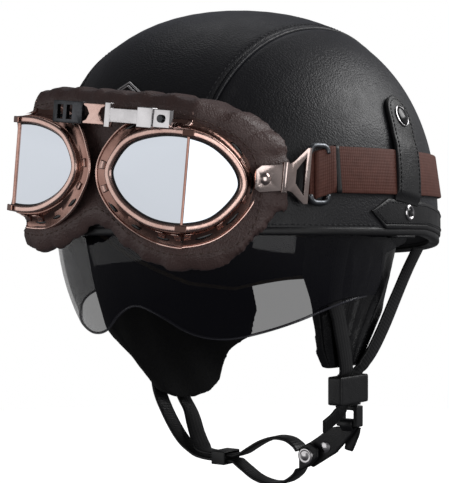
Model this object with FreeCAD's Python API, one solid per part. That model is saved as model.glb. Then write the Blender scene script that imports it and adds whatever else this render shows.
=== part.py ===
"""Leather-covered half helmet with drop-down smoke visor, aviator goggles,
ear flaps and chin strap.

Frame: millimetres, +Z up, the wearer faces -Y, the wearer's left is +X.
Origin: centre of the head opening, on the plane of the shell's lower rim.
"""
import FreeCAD, Part
import math
import os

V = FreeCAD.Vector

# ---- driving dimensions -------------------------------------------------------------
N = 2.35                             # exponent of the crown's superellipse
A, B, H = 116.0, 131.5, 135.0        # outer leather: half width, half length, height
LEATHER = 1.5                        # cover leather
SHELL = 3.5                          # moulded shell
EPS_IN = (86.0, 102.0, 116.0)        # inside of the impact foam
PAD_IN = (80.0, 96.0, 110.0)         # inside of the comfort lining
GAP = 0.4                            # air between parts that move past each other
RIM_DIP_START = 20.0                 # y where the rim starts to dip to the nape
RIM_DIP = 14.0                       # how far it has dipped at the back
TRIM = 1.8                           # depth of the edge binding
SEAM_TOP, SEAM_PULL = 62.0, 18.0     # seam's x at the crown, and its pull-in at the rim
WELT = 1.6                           # width of the seam piping
PIVOT_Y, PIVOT_Z = 8.0, 8.0          # visor pivot
VISOR_R, VISOR_W, VISOR_T = 126.0, 105.0, 2.0   # visor: radius, half width, thickness
PIN_R = 3.0                          # visor pivot screw shank
STRAP_Z, STRAP_H, STRAP_T = 34.0, 26.0, 1.6     # goggle strap: mid height, width, thickness
TAB_W, TAB_T = 24.5, 1.6             # strap retainer tab
GOG_Z, GOG_Y = 32.5, -142.7          # goggles: mid height, front face at the lens divider
GOG_ROLL = 6.0                       # degrees the goggles sit askew, left side low
CUP_HALF = 26.8                      # half height of an eye cup's bezel
DIV_X = 60.3                         # half distance between the two lens dividers
FRONT_AZ, SIDE_AZ = 5.7, 50.0        # facing of the front and side lens, degrees
SEAM_TURN = 68.0                     # turn of the crown surfaces' own seam, clear of all features


# ---- helpers ------------------------------------------------------------------------
def spline(points, closed=False):
    curve = Part.BSplineCurve()
    curve.interpolate(Points=[V(*p) for p in points], PeriodicFlag=closed)
    return curve.toShape()


def chain(points):
    return [Part.makeLine(V(*a), V(*b)) for a, b in zip(points, points[1:])]


def prism(edges, direction):
    return Part.Face(Part.Wire(edges)).extrude(V(*direction))


def side_prism(points, x0, x1, smooth=False):
    """Outline given as (y, z), carried along X."""
    pts = [(x0, y, z) for y, z in points]
    edges = [spline(pts, True)] if smooth else chain(pts + pts[:1])
    return prism(edges, (x1 - x0, 0, 0))


def front_prism(points, y0, y1, smooth=False):
    """Outline given as (x, z), carried along Y."""
    pts = [(x, y0, z) for x, z in points]
    edges = [spline(pts, True)] if smooth else chain(pts + pts[:1])
    return prism(edges, (0, y1 - y0, 0))


def box(x0, x1, y0, y1, z0, z1):
    return Part.makeBox(x1 - x0, y1 - y0, z1 - z0, V(x0, y0, z0))


def cyl(p, d, r, h):
    return Part.makeCylinder(r, h, V(*p), V(*d))


def mirrored(shape):
    return shape.mirror(V(0, 0, 0), V(1, 0, 0))


def pair(shape):
    """The shape and its mirror image, as two separate solids."""
    return Part.makeCompound([shape, mirrored(shape)])


def loft(sections):
    """Solid through closed outlines, each a list of corner points."""
    wires = [Part.Wire(chain([tuple(p) for p in s] + [tuple(s[0])])) for s in sections]
    return Part.makeLoft(wires, True, True)


def ribbon(stations, width, thick):
    """Strap through stations of (centre, width direction, face normal)."""
    rows = []
    for c, w, n in stations:
        c, w, n = V(*c), V(*w), V(*n)
        w.normalize()
        n.normalize()
        corners = ((1, 1), (-1, 1), (-1, -1), (1, -1))
        rows.append([c + w * (i * width / 2) + n * (j * thick / 2) for i, j in corners])
    return loft(rows)


def dome(a, b, h, low=-60.0):
    """Closed crown body: superellipse of revolution, stretched along Y."""
    pts = []
    for i in range(13):
        t = math.radians(90.0 * i / 12)
        pts.append(V(a * math.cos(t) ** (2 / N) if i < 12 else 0.0, 0, h * math.sin(t) ** (2 / N)))
    curve = Part.BSplineCurve()
    curve.interpolate(Points=pts, InitialTangent=V(0, 0, 1), FinalTangent=V(-1, 0, 0))
    edges = [Part.makeLine(V(a, 0, low), V(a, 0, 0)), curve.toShape(),
             Part.makeLine(V(0, 0, h), V(0, 0, low)), Part.makeLine(V(0, 0, low), V(a, 0, low))]
    body = Part.Face(Part.Wire(edges)).revolve(V(0, 0, 0), V(0, 0, 1), 360)
    body.rotate(V(0, 0, 0), V(0, 0, 1), SEAM_TURN)
    m = FreeCAD.Matrix()
    m.A22 = b / a
    return body.transformGeometry(m)


def skin(outer, inner):
    """Crown layer between two offsets from the outer leather."""
    return crown(outer).cut(crown(inner))


def surface(y, z, offset):
    """Point over the left side of the crown at a height above its leather, and the normal there."""
    q = (z / H) ** N
    x = A * math.sqrt((1 - q) ** (2 / N) - (y / B) ** 2)
    n = V(x / A ** 2, y / B ** 2, (1 - q) ** (2 / N - 1) * z ** (N - 1) / H ** N)
    n.normalize()
    return tuple(V(x, y, z) + n * offset), tuple(n)


def layer(tool, outer, inner):
    """The part of a tool between two offsets from the outer leather."""
    return tool.common(crown(outer)).cut(crown(inner))


_crowns = {}


def crown(offset):
    if offset not in _crowns:
        _crowns[offset] = dome(A + offset, B + offset, H + offset)
    return _crowns[offset]


def below_rim(lift):
    """Everything under the rim line, raised by lift."""
    z1, z2 = lift, lift - RIM_DIP
    mid = (0, 82.0, lift - RIM_DIP / 2)
    p = [(-200, -200, z1), (-200, RIM_DIP_START, z1)]
    arc = Part.Arc(V(-200, *p[1][1:]), V(-200, *mid[1:]), V(-200, 145, z2)).toShape()
    rest = [(-200, 145, z2), (-200, 200, z2), (-200, 200, -120), (-200, -200, -120), p[0]]
    return prism(chain(p) + [arc] + chain(rest), (400, 0, 0))


def seam_x(y):
    return SEAM_TOP - SEAM_PULL * (y / 131.0) ** 2


def seam_side(edge):
    """Region between the seam line moved by edge and the far left, for x > 0."""
    ys = (-150, -75, 0, 75, 150)
    line = spline([(seam_x(y) + edge, y, -60) for y in ys])
    a, b = seam_x(-150) + edge, seam_x(150) + edge
    back = chain([(b, 150, -60), (200, 150, -60), (200, -150, -60), (a, -150, -60)])
    return prism([line] + back, (0, 0, 220))


def rectangle(corner, side_a, side_b):
    """Flat face with one corner at a point and two sides given as vectors."""
    p = [corner, corner + side_a, corner + side_a + side_b, corner + side_b, corner]
    return Part.Face(Part.Wire(chain([tuple(q) for q in p])))


def largest(shape):
    return max(shape.Solids, key=lambda s: s.Volume)


made = {}


def keep(name, shape):
    """Set one sub-part aside under its node's name, without crumbs."""
    solids = [s for s in shape.Solids if s.Volume > 1.0]
    assert solids, name
    made[name] = solids[0] if len(solids) == 1 else Part.makeCompound(solids)


def let_in(name, *over):
    """Cut a sub-part back where others of the same body lie over it."""
    shape = made[name]
    for other in over:
        shape = shape.cut(made[other])
    keep(name, shape if len(made[name].Solids) > 1 else largest(shape))


# ---- crown: shell, leather, binding, band -------------------------------------------
rim = below_rim(0.0)
shell = skin(-LEATHER, -LEATHER - SHELL).cut(rim)
cover = skin(0.0, -LEATHER).cut(rim)
left_cut, right_cut = seam_side(WELT / 2), mirrored(seam_side(WELT / 2))
inner_left, inner_right = seam_side(-WELT / 2), mirrored(seam_side(-WELT / 2))
keep("leather_panel_left", cover.common(left_cut))
keep("leather_panel_right", cover.common(right_cut))
keep("leather_panel_centre", cover.cut(inner_left).cut(inner_right))
welts = skin(0.7, -LEATHER).cut(rim)
keep("seam_piping", Part.makeCompound([welts.common(inner_left).cut(left_cut),
                                       welts.common(inner_right).cut(right_cut)]))
keep("outer_shell", shell)
binding = skin(0.5, -LEATHER - SHELL - 0.8).common(rim).cut(below_rim(-TRIM))
keep("rim_trim", binding)

foot = layer(box(60, 200, -17.0, 3.6, -30, 10), 0.8, -6.4).common(below_rim(-TRIM))
foot = foot.cut(below_rim(-TRIM - 1.4))
keep("tab_feet", pair(foot))

# rear band: outline seen from the side, its arrow ends point forward
ARROW = [(-38.2, 12.0), (-24.0, 19.3), (20.0, 17.5), (60.0, 13.0), (100.0, 7.5), (140.0, 4.0),
         (140.0, -11.2), (100.0, -7.2), (60.0, -1.8), (20.0, 1.6), (-26.5, 1.6)]
BAND_T = 1.4
EYELET_Y, EYELET_Z, EYELET_R = -4.0, 11.2, 4.7
band = skin(BAND_T, 0.0).common(side_prism(ARROW, -200, 200))
eyelet_hole = cyl((-200, EYELET_Y, EYELET_Z), (1, 0, 0), EYELET_R, 400)
keep("rear_band", band.cut(eyelet_hole))
root, out = surface(EYELET_Y, EYELET_Z, 0.1)
keep("rear_band_eyelets", pair(cyl(root, out, EYELET_R - 0.1, 2.3).cut(cyl(root, out, 3.0, 2.3))))
BADGE = [(-15, 66), (-13, 74), (-8, 80.5), (0, 83), (8, 80.5), (13, 74), (15, 66), (0, 64)]
keep("front_badge", skin(BAND_T, 0.0).common(front_prism(BADGE, -160, -60, True)))


# ---- visor: surface of revolution about the pivot axis -------------------------------
def visor_body(r, w):
    """Solid of revolution about the pivot axis, superelliptic across the width."""
    pts = []
    for i in range(13):
        t = math.radians(90.0 * i / 12)
        pts.append((w * math.sin(t) ** (2 / N), r * math.cos(t) ** (2 / N) if i < 12 else 0.0))
    curve = Part.BSplineCurve()
    curve.interpolate(Points=[V(x, PIVOT_Y - q, PIVOT_Z) for x, q in pts],
                      InitialTangent=V(1, 0, 0), FinalTangent=V(0, 1, 0))
    edges = [curve.toShape()] + chain([(w, PIVOT_Y, PIVOT_Z), (0, PIVOT_Y, PIVOT_Z),
                                       (0, PIVOT_Y - r, PIVOT_Z)])
    half = Part.Face(Part.Wire(edges)).revolve(V(0, PIVOT_Y, PIVOT_Z), V(1, 0, 0), 360)
    half.rotate(V(0, PIVOT_Y, PIVOT_Z), V(1, 0, 0), 170)
    return half.fuse(mirrored(half)).removeSplitter()


def at(angle, radius):
    """Point (y, z) at an angle above straight ahead, about the visor pivot."""
    t = math.radians(angle)
    return (PIVOT_Y - radius * math.cos(t), PIVOT_Z + radius * math.sin(t))


visor_out = visor_body(VISOR_R, VISOR_W)
visor = visor_out.cut(visor_body(VISOR_R - VISOR_T, VISOR_W - VISOR_T))
SIDE = [at(24, 150), at(70, 15), at(110, 15), at(150, 15), at(-170, 15), (PIVOT_Y + 6, -6),
        (-8, -12), (-10, -28), (-14, -37), (-24, -44), (-60, -90), (-150, -90)]
visor = visor.common(side_prism(SIDE, -200, 200))
edge_pts = [(-108, -40), (-98, -36), (-80, -48.5), (-62, -56), (-46, -59), (-30, -56), (-14, -46),
            (0, -41), (14, -46), (30, -56), (46, -59), (62, -56), (80, -48.5), (98, -36), (108, -40)]
brow = spline([(x, -200, z) for x, z in edge_pts])
under = chain([(108, -200, -40), (108, -200, -120), (-108, -200, -120), (-108, -200, -40)])
visor = visor.cut(prism([brow] + under, (0, 400, 0)))
pivot_axis = cyl((-200, PIVOT_Y, PIVOT_Z), (1, 0, 0), PIN_R + 0.06, 400)
keep("visor_lens", visor.cut(pivot_axis))

inside_shell = crown(-LEATHER - SHELL)
boss = cyl((VISOR_W + GAP, PIVOT_Y, PIVOT_Z), (1, 0, 0), 8.0, 20.0).common(inside_shell)
boss = boss.cut(cyl((90, PIVOT_Y, PIVOT_Z), (1, 0, 0), PIN_R, 18.5))
screw = cyl((97.5, PIVOT_Y, PIVOT_Z), (1, 0, 0), PIN_R, 11.0)
screw = screw.fuse(cyl((97.5, PIVOT_Y, PIVOT_Z), (1, 0, 0), 6.5, 4.6)).removeSplitter()
keep("visor_pivot_bosses", pair(boss))
keep("visor_pivot_screws", pair(screw))

# ---- liners -------------------------------------------------------------------------
foam = crown(-LEATHER - SHELL).cut(dome(*EPS_IN)).cut(below_rim(2.0))
sweep = [at(-75, 260), at(-20, 260), at(20, 260), at(55, 260), at(72, 260), (PIVOT_Y, PIVOT_Z)]
room = side_prism(sweep, -200, 200).fuse(cyl((-200, PIVOT_Y, PIVOT_Z), (1, 0, 0), 60.0, 400))
room = room.cut(visor_body(VISOR_R - VISOR_T - 1.6, VISOR_W - VISOR_T - 1.6))
foam = foam.cut(room)
for x in (96.0, -112.0):
    foam = foam.cut(cyl((x, PIVOT_Y, PIVOT_Z), (1, 0, 0), 8.5, 16.0))
keep("impact_liner", largest(foam))

pad_outer = dome(EPS_IN[0], EPS_IN[1], EPS_IN[2], -60)
lining = pad_outer.cut(dome(*PAD_IN)).cut(box(-200, 200, -200, 200, -100, 2.0))
keep("comfort_liner", lining)

# ---- strap, tabs --------------------------------------------------------------------
z0, z1 = STRAP_Z - STRAP_H / 2, STRAP_Z + STRAP_H / 2
around = skin(GAP + STRAP_T, GAP).common(box(-200, 200, -64, 200, z0, z1))


def strap_end(dz):
    """Strap from the retained part forward to the side loop, on the left."""
    up = (0, 0, 1)
    rows = [((101.0, -64.0, STRAP_Z), up, (0.74, -0.67, 0)),
            ((99.4, -68.5, STRAP_Z + dz * 0.3), up, (0.84, -0.55, 0)),
            ((97.8, -73.5, STRAP_Z + dz * 0.6), up, (0.90, -0.43, 0)),
            ((96.2, -79.0, STRAP_Z + dz), up, (0.94, -0.34, 0))]
    return ribbon(rows, STRAP_H, STRAP_T)


DROP = 98.0 * math.sin(math.radians(GOG_ROLL))
END_DROP = 0.45 * DROP                               # how far the left end of the strap has dropped
strap = around.fuse(strap_end(-END_DROP)).fuse(mirrored(strap_end(END_DROP)))
keep("goggle_strap", strap.removeSplitter())

TAB_LEAN = math.radians(8.3)                         # the tab leans back from its foot
TAB_FOOT = (-5.4, 20.0)                              # (y, z) of the middle of its lower end
TAB_LENGTH = 46.5                                    # from the foot to the snap
TAB_OUT = 4.0                                        # outer face above the leather


def tab_point(along, across):
    y = TAB_FOOT[0] + along * math.sin(TAB_LEAN) + across * math.cos(TAB_LEAN)
    return (y, TAB_FOOT[1] + along * math.cos(TAB_LEAN) - across * math.sin(TAB_LEAN))


outline = [tab_point(0, -TAB_W / 2), tab_point(TAB_LENGTH, -TAB_W / 2)]
for k in range(1, 8):
    a = math.pi - k * math.pi / 8
    outline.append(tab_point(TAB_LENGTH + TAB_W / 2 * math.sin(a), TAB_W / 2 * math.cos(a)))
outline += [tab_point(TAB_LENGTH, TAB_W / 2), tab_point(0, TAB_W / 2)]
snap_yz = tab_point(TAB_LENGTH, 0)
snap_root, snap_out = surface(*snap_yz, 0.1)
tab = skin(TAB_OUT, TAB_OUT - TAB_T).common(side_prism(outline, 40, 200))
tab = tab.cut(cyl(snap_root, snap_out, 2.0, 8.0))
snap_cap = cyl(surface(*snap_yz, TAB_OUT)[0], snap_out, 6.2, 1.4)
snap_cap = snap_cap.fuse(cyl(surface(*snap_yz, TAB_OUT - TAB_T)[0], snap_out, 2.0, TAB_T)).removeSplitter()
keep("strap_tab_left", tab)
keep("strap_tab_right", mirrored(tab))
keep("tab_snap_cap_left", snap_cap)
keep("tab_snap_cap_right", mirrored(snap_cap))
keep("tab_snap_studs", pair(cyl(snap_root, snap_out, 5.0, TAB_OUT - TAB_T - GAP - 0.1)))

# ---- goggles ------------------------------------------------------------------------
# Outline of one eye cup, seen square on; u runs outward from the lens divider.
NOSE_HALF = [(0, CUP_HALF), (-20, 26.4), (-39, 20), (-49.5, 6), (-49, -5), (-39, -17), (-21, -25.5),
             (0, -CUP_HALF)]
OUTER_HALF = [(0, -CUP_HALF), (17, -22.5), (29, -11.5), (34, 0), (29, 12), (16, 22.5), (0, CUP_HALF)]
TILT = FreeCAD.Placement(V(0, 0, 0), FreeCAD.Rotation(V(0, 1, 0), GOG_ROLL), V(0, GOG_Y, GOG_Z))


def tilted(shapes):
    """Solids set askew with the goggles, as one compound."""
    out = Part.makeCompound([s.copy() for s in shapes])
    out.Placement = TILT.multiply(out.Placement)
    return out


def panel_frame(azimuth):
    a = math.radians(azimuth)
    return V(math.cos(a), math.sin(a), 0), V(math.sin(a), -math.cos(a), 0)


def on_panel(azimuth, u, v, n):
    eu, en = panel_frame(azimuth)
    return V(DIV_X, GOG_Y, GOG_Z) + eu * u + en * n + V(0, 0, v)


def fold_plane(keep_nose):
    """Half space on one side of the plane that halves the two lens facings."""
    mid = (FRONT_AZ + SIDE_AZ) / 2
    eu, en = panel_frame(mid)
    origin = V(DIV_X, GOG_Y, GOG_Z) - en * 150 - V(0, 0, 150)
    a = origin - eu * 200 if keep_nose else origin
    return rectangle(a, eu * 200, en * 300).extrude(V(0, 0, 300))


NOSE_SPACE, OUTER_SPACE = fold_plane(True), fold_plane(False)


def half_slab(azimuth, half, grow_u, grow_v, n0, n1, over):
    """Flat slab with a half outline, grown by a margin, run past the fold by over."""
    reach = 34.0 if half is OUTER_HALF else 49.5
    su = (reach + grow_u * (1.5 if half is OUTER_HALF and grow_u > 0 else 1.0)) / reach
    sv = (CUP_HALF + grow_v) / CUP_HALF
    pts = [on_panel(azimuth, u * su, v * sv, n0) for u, v in half]
    first, last = pts[0], pts[-1]
    eu, en = panel_frame(azimuth)
    push = eu * (over if half is NOSE_HALF else -over)
    edges = [spline([tuple(p) for p in pts])]
    edges += chain([tuple(last), tuple(last + push), tuple(first + push), tuple(first)])
    return Part.Face(Part.Wire(edges)).extrude(en * (n1 - n0))


def cup_slab(grow_u, grow_v, n0, n1):
    nose = half_slab(FRONT_AZ, NOSE_HALF, grow_u, grow_v, n0, n1, 12.0).common(NOSE_SPACE)
    outer = half_slab(SIDE_AZ, OUTER_HALF, grow_u, grow_v, n0, n1, 12.0).common(OUTER_SPACE)
    return nose, outer


def cup_solid(grow_u, grow_v, n0, n1):
    nose, outer = cup_slab(grow_u, grow_v, n0, n1)
    return nose.fuse(outer).removeSplitter()


BEZEL_W = 4.0
helmet_clear = crown(BAND_T + GAP)
cup_parts = {}
cup_parts["lens_bezel_"] = cup_solid(0, 0, -5.0, 0.0).cut(cup_solid(-BEZEL_W, -BEZEL_W, -6.0, 1.0))
lens_nose, lens_outer = cup_slab(-BEZEL_W, -BEZEL_W, -3.6, -1.6)
cup_parts["lens_front_"] = lens_nose
cup_parts["lens_side_"] = lens_outer
wall = cup_solid(0, 0, -11.0, -5.0).cut(cup_solid(-2.0, -2.0, -12.0, -4.0))
flange = cup_solid(8.0, 9.0, -11.0, -9.6).cut(cup_solid(-2.0, -2.0, -12.0, -4.0))
cup_parts["goggle_frame_"] = wall.fuse(flange).removeSplitter()
inner_room = cup_solid(-BEZEL_W, -BEZEL_W, -9, -1.5)
clips = []
for z in (GOG_Z + CUP_HALF - 1.8, GOG_Z - CUP_HALF + 1.8):
    block = box(DIV_X - 3.5, DIV_X + 3.5, GOG_Y - 1.4, GOG_Y + 8.0, z - 2.6, z + 2.6)
    block = block.cut(cup_parts["lens_bezel_"]).cut(cup_parts["goggle_frame_"]).cut(inner_room)
    clips.append(largest(block))

for side, flip in (("left", False), ("right", True)):
    for name, shape in cup_parts.items():
        shape = mirrored(shape) if flip else shape.copy()
        shape.Placement = TILT.multiply(shape.Placement)
        keep(name + side, shape)
keep("lens_clips", tilted(clips + [mirrored(c) for c in clips]))

# padded backing, bent round the helmet
PAD = [(0, 44.5), (22, 45), (46, 44), (66, 39), (82, 27), (89.5, 8), (90.5, -10), (88, -26), (79, -40),
       (60, -47.5), (40, -47.5), (24, -42.5), (11, -35), (0, -29)]
outline = PAD + [(-x, z) for x, z in PAD[-2:0:-1]]
pad = front_prism([(x, GOG_Z + z) for x, z in outline], -170, -60, True)
PAD_FRONT = -11.2
for flip in (False, True):
    for az in (FRONT_AZ, SIDE_AZ):
        eu, en = panel_frame(az)
        corner = on_panel(az, 0, 0, PAD_FRONT) - eu * 200 - V(0, 0, 150)
        ahead = rectangle(corner, eu * 400, en * 200).extrude(V(0, 0, 300))
        pad = pad.cut(mirrored(ahead) if flip else ahead)
pad.Placement = TILT.multiply(pad.Placement)
eye = cup_solid(-4.0, -3.0, -60.0, -5.0)
eyes = tilted([eye, mirrored(eye)])
keep("goggle_pad", largest(pad.cut(helmet_clear).cut(eyes)))

# nose bridge: bracket, link, T bar, sleeve and plate on one line across the top
BRIDGE_Z = GOG_Z + 31.0
BY = -149.0                                           # front of the bridge hardware


def bridge_box(x0, x1, h, y0=0.0, y1=3.0):
    return box(x0, x1, BY + y0, BY + y1, BRIDGE_Z - h / 2, BRIDGE_Z + h / 2)


bridge = {}
bracket = bridge_box(-28, -7.5, 12)
for slot_x in (-25, -18.5):
    bracket = bracket.cut(bridge_box(slot_x, slot_x + 4, 7.5, -1, 4))
ear = box(-27, -9, BY + 3.0, BY + 16.0, BRIDGE_Z - 3.2, BRIDGE_Z - 1.2)
bridge["bridge_bracket_right"] = bracket.fuse(ear)
HOURGLASS = [(-7, 5.5), (-7, 4.3), (-4.6, 3.2), (-2.8, 0), (-4.6, -3.2), (-7, -4.3), (-7, -5.5),
             (8, -5.5), (8, -4.3), (5.6, -3.2), (3.8, 0), (5.6, 3.2), (8, 4.3), (8, 5.5)]
link = front_prism(HOURGLASS, 0, 2.0)
link.translate(V(0, BY + 0.5, BRIDGE_Z))
bridge["bridge_link"] = link
bridge["bridge_bar"] = bridge_box(8.5, 12, 13).fuse(bridge_box(12, 41, 7.4, 0.4, 2.6))
bridge["bridge_collar"] = bridge_box(31, 41, 10.6, -0.8, 3.8).cut(bridge_box(30, 42, 7.4, 0.4, 2.6))
plate = bridge_box(41.4, 52, 9.0).fuse(box(42, 50, BY + 3.0, BY + 16.0, BRIDGE_Z - 3.2, BRIDGE_Z - 1.2))
SCREW_X, SCREW_R = 46.5, 1.2
bridge["bridge_plate"] = plate.cut(cyl((SCREW_X, BY - 1, BRIDGE_Z), (0, 1, 0), SCREW_R, 6))
shank = cyl((SCREW_X, BY, BRIDGE_Z), (0, 1, 0), SCREW_R, 3.0)
bridge["bridge_screw"] = shank.fuse(cyl((SCREW_X, BY - 1.2, BRIDGE_Z), (0, 1, 0), 2.1, 1.2))
for name, shape in bridge.items():
    shape = shape.removeSplitter()
    shape.Placement = TILT.multiply(shape.Placement)
    keep(name, shape)

# side hardware: plate, rivet, hinge loop, adjuster; s runs back along the plate
ROOT = V(82.5, -110.5, GOG_Z + 4.0)
ARM_RISE = 0.12                                       # the plate and loop climb towards the strap
ARM = math.radians(64.0)
TAN = V(math.cos(ARM), math.sin(ARM), 0)
NRM = V(math.sin(ARM), -math.cos(ARM), 0)


def arm_prism(points, n0, n1):
    """Outline given as (s, z) on the arm's plane, thickened along its normal."""
    p = [ROOT + TAN * s + V(0, 0, z + ARM_RISE * s) + NRM * n0 for s, z in points]
    return Part.Face(Part.Wire(chain([tuple(q) for q in p + p[:1]]))).extrude(NRM * (n1 - n0))


hardware = {}
plate = arm_prism([(-1, -5), (2, -7), (15, -7), (15, 7), (2, 7), (-1, 5)], 0.6, 2.0)
rivet_at = ROOT + TAN * 5.0 + V(0, 0, ARM_RISE * 5.0)
hardware["side_plates"] = plate.cut(cyl(tuple(rivet_at), tuple(NRM), 1.5, 6.0))
knuckle = cyl(tuple(ROOT + TAN * 17.2 + V(0, 0, ARM_RISE * 17.2 - 8) + NRM * 1.3), (0, 0, 1), 1.9, 16.0)
hardware["side_rivets"] = cyl(tuple(rivet_at), tuple(NRM), 1.5, 2.2).fuse(
    cyl(tuple(rivet_at + NRM * 2.0), tuple(NRM), 2.6, 1.2))
loop = arm_prism([(18.4, -7.0), (21.5, -8.0), (29.5, -15.0), (32, -15.0), (32, 15.0), (29.5, 15.0),
                  (21.5, 8.0), (18.4, 7.0)], 0.4, 2.4)
loop = loop.cut(arm_prism([(23.4, -3.6), (29.2, -10.5), (29.2, 10.5), (23.4, 3.6)], 0.0, 3.0))
hardware["side_loops"] = loop.fuse(knuckle)
for name, shape in hardware.items():
    keep(name, tilted([shape, mirrored(shape)]))


def strap_plate(centre, half_s, half_z, n0, n1):
    """Flat plate lying on the strap's front run; s runs back along the strap."""
    t, n = V(0.45, 0.89, 0), V(0.89, -0.45, 0)
    corners = ((-half_s, -half_z), (half_s, -half_z), (half_s, half_z), (-half_s, half_z))
    p = [tuple(centre + t * i + V(0, 0, j) + n * n0) for i, j in corners]
    return Part.Face(Part.Wire(chain(p + p[:1]))).extrude(n * (n1 - n0))


rings = []
for lift, flip in ((-END_DROP, False), (END_DROP, True)):
    centre = V(99.0, -71.5, STRAP_Z + lift * 0.5)
    ring = strap_plate(centre, 7.5, 16.5, 1.4, 3.6).cut(strap_plate(centre, 4.5, 13.5, 0.0, 5.0))
    for air in (0.0, GAP):
        under = strap_end(lift)
        under.translate(V(0.89, -0.45, 0) * air)
        ring = ring.cut(under)
    ring = largest(ring)
    rings.append(mirrored(ring) if flip else ring)
keep("strap_adjusters", Part.makeCompound(rings))

# ---- neck skirt and ear flaps: layers of one cone-shaped wall --------------------------
WALL_TOP, WALL_LOW = (94.0, 108.0), (72.0, 92.0)     # half axes at z = 0 and at z = -WALL_DEPTH
WALL_DEPTH = 112.0
FLAP_T, SKIRT_T = 6.0, 4.0


def wall(inset, top=0.0):
    """Closed tapering body of oval section, inset from the flaps' outer face."""
    wires = []
    for z in (top, -WALL_DEPTH):
        a, b = [t - (q - t) * z / WALL_DEPTH - inset for t, q in zip(WALL_TOP, WALL_LOW)]
        ring = Part.Ellipse(V(0, b, z), V(a, 0, z), V(0, 0, z))
        wires.append(Part.Wire([ring.toShape()]))
    return Part.makeLoft(wires, True, True)


SKIRT = [(-60, 1.6), (-40, -3.0), (7, -21.0), (40, -33.0), (68, -37.0), (90, -30.0), (115, -24.0)]
skirt_out = FLAP_T + GAP
skirt_in = skirt_out + SKIRT_T
above = side_prism(SKIRT + [(115, 5.0), (-60, 5.0)], -200, 200)
keep("neck_skirt", wall(skirt_out, 1.6).cut(wall(skirt_in, 1.6)).common(above).cut(foam))
edge = side_prism(SKIRT + [(y, z - 2.6) for y, z in SKIRT[::-1]], -200, 200)
keep("liner_piping", wall(skirt_out, 1.6).cut(wall(skirt_in + 0.8, 1.6)).common(edge))

FLAP_R = [(-62, -1.5), (-61, -30), (-47, -59), (-17, -79), (7, -103), (20, -108), (34, -109), (45, -106),
          (53, -100), (61, -80), (75, -70), (80, -50), (78, -8), (30, -1.5)]
FLAP_L = [(-52, -1.5), (-50, -24), (-42, -39), (-35, -58), (-31, -70), (-24, -79), (9, -79), (16, -68),
          (27, -52), (38, -28), (41, -6), (20, -1.5)]
flap_body = wall(0.0).cut(wall(FLAP_T))
keep("ear_flap_right", flap_body.common(side_prism(FLAP_R, -150, 0)))
keep("ear_flap_left", flap_body.common(side_prism(FLAP_L, 0, 150)))

# ---- chin strap: the webbing's width runs along Y, its route lies near the XZ plane -----
WEB_W, WEB_T = 13.0, 2.0


def web(route, width=WEB_W, thick=WEB_T):
    """Webbing through (x, y, z) points, its face turned square to the route in XZ."""
    rows = []
    for i, p in enumerate(route):
        a, b = route[max(i - 1, 0)], route[min(i + 1, len(route) - 1)]
        rows.append((p, (0, 1, 0), (a[2] - b[2], 0, b[0] - a[0])))
    return ribbon(rows, width, thick)


UPPER, LOWER = -138.3, -141.6                         # heights of the two straps in the slider
keep("chin_strap_right_outer", web([(-77.6, 12, -90), (-74.9, 12, -104), (-66, 10, -118), (-53, 6, -131),
                                    (-40, 2, -138), (-28, 0, -141.2), (-5, 0, LOWER)]))
keep("chin_strap_right_inner", web([(-75.2, 32, -90), (-71.8, 32, -106), (-62, 29, -118), (-50, 18, -127.5),
                                    (-38, 7, -134), (-28, 0, -137.6), (-5, 0, UPPER)]))
frame = box(-19, -9, -8.6, 8.6, LOWER - 2.5, UPPER + 2.5)
keep("strap_slider", frame.cut(box(-21, -7, -7, 7, LOWER - 1.3, UPPER + 1.3)))
keep("chin_loop_upper", web([(-4.6, 0, UPPER), (1, 0, -136.2), (7, 0, -132.5), (15, 0, -128), (24, 0, -125),
                             (33, 0, -125.2), (39, 0, -128), (42, 0, -131)]))
keep("chin_loop_lower", web([(-4.6, 0, LOWER), (2, 0, -145.8), (11, 0, -150.8), (22, 0, -153), (32, 0, -151),
                             (39, 0, -146.5), (42, 0, -142.5)]))
keep("chin_end_tab", front_prism([(42.4, -143.5), (42.4, -130), (50, -125.5), (55.5, -129), (56, -134),
                                  (50, -140)], -4.2, -2.0))
SNAP_X, SNAP_Z = 47.5, -133.8
KEEPER_TOP, KEEPER_LOW = -84.0, -100.5                # loop that gathers the two left straps
RING_TOP, RING_LOW = -102.4, -114.8                   # D ring under the keeper
TAB_TOP = RING_LOW - 0.5                              # top of the two tabs that hang from the ring
keep("snap_button_front", cyl((SNAP_X, -5.8, SNAP_Z), (0, 1, 0), 5.0, 1.6))

keep("snap_tab", front_prism([(66.5, TAB_TOP), (79.5, TAB_TOP), (76, -120), (66, -131), (50, -141),
                              (43.5, -139), (43.5, -129), (54, -122), (61, -116.5)], 0.0, 2.2))
studs = cyl((SNAP_X, -1.2, SNAP_Z), (0, 1, 0), 3.0, 1.2), cyl((59.0, -1.4, -128), (0, 1, 0), 3.4, 1.4)
keep("snap_studs", Part.makeCompound(studs))
keep("snap_tab_tail", front_prism([(70, TAB_TOP), (80.5, TAB_TOP), (79.5, -120), (75, -130), (69.5, -129),
                                   (71, -119)], 3.4, 5.4))
bar = 2.5
hole = box(67 + bar, 81 - bar, -2, 8, RING_LOW + bar, RING_TOP - bar)
keep("d_ring", box(67, 81, -1.0, 6.4, RING_LOW, RING_TOP).cut(hole))
keep("chin_strap_left_front", web([(91.4, -34, -4), (85.2, -33, -36), (84.0, -27, -50), (81.8, -17.5, -68),
                                   (80.1, -12.2, -79.8), (77.3, -10.8, -85.3), (76.6, -10.8, -101),
                                   (74.5, -14, -107), (71, -22, -113)]))
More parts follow.
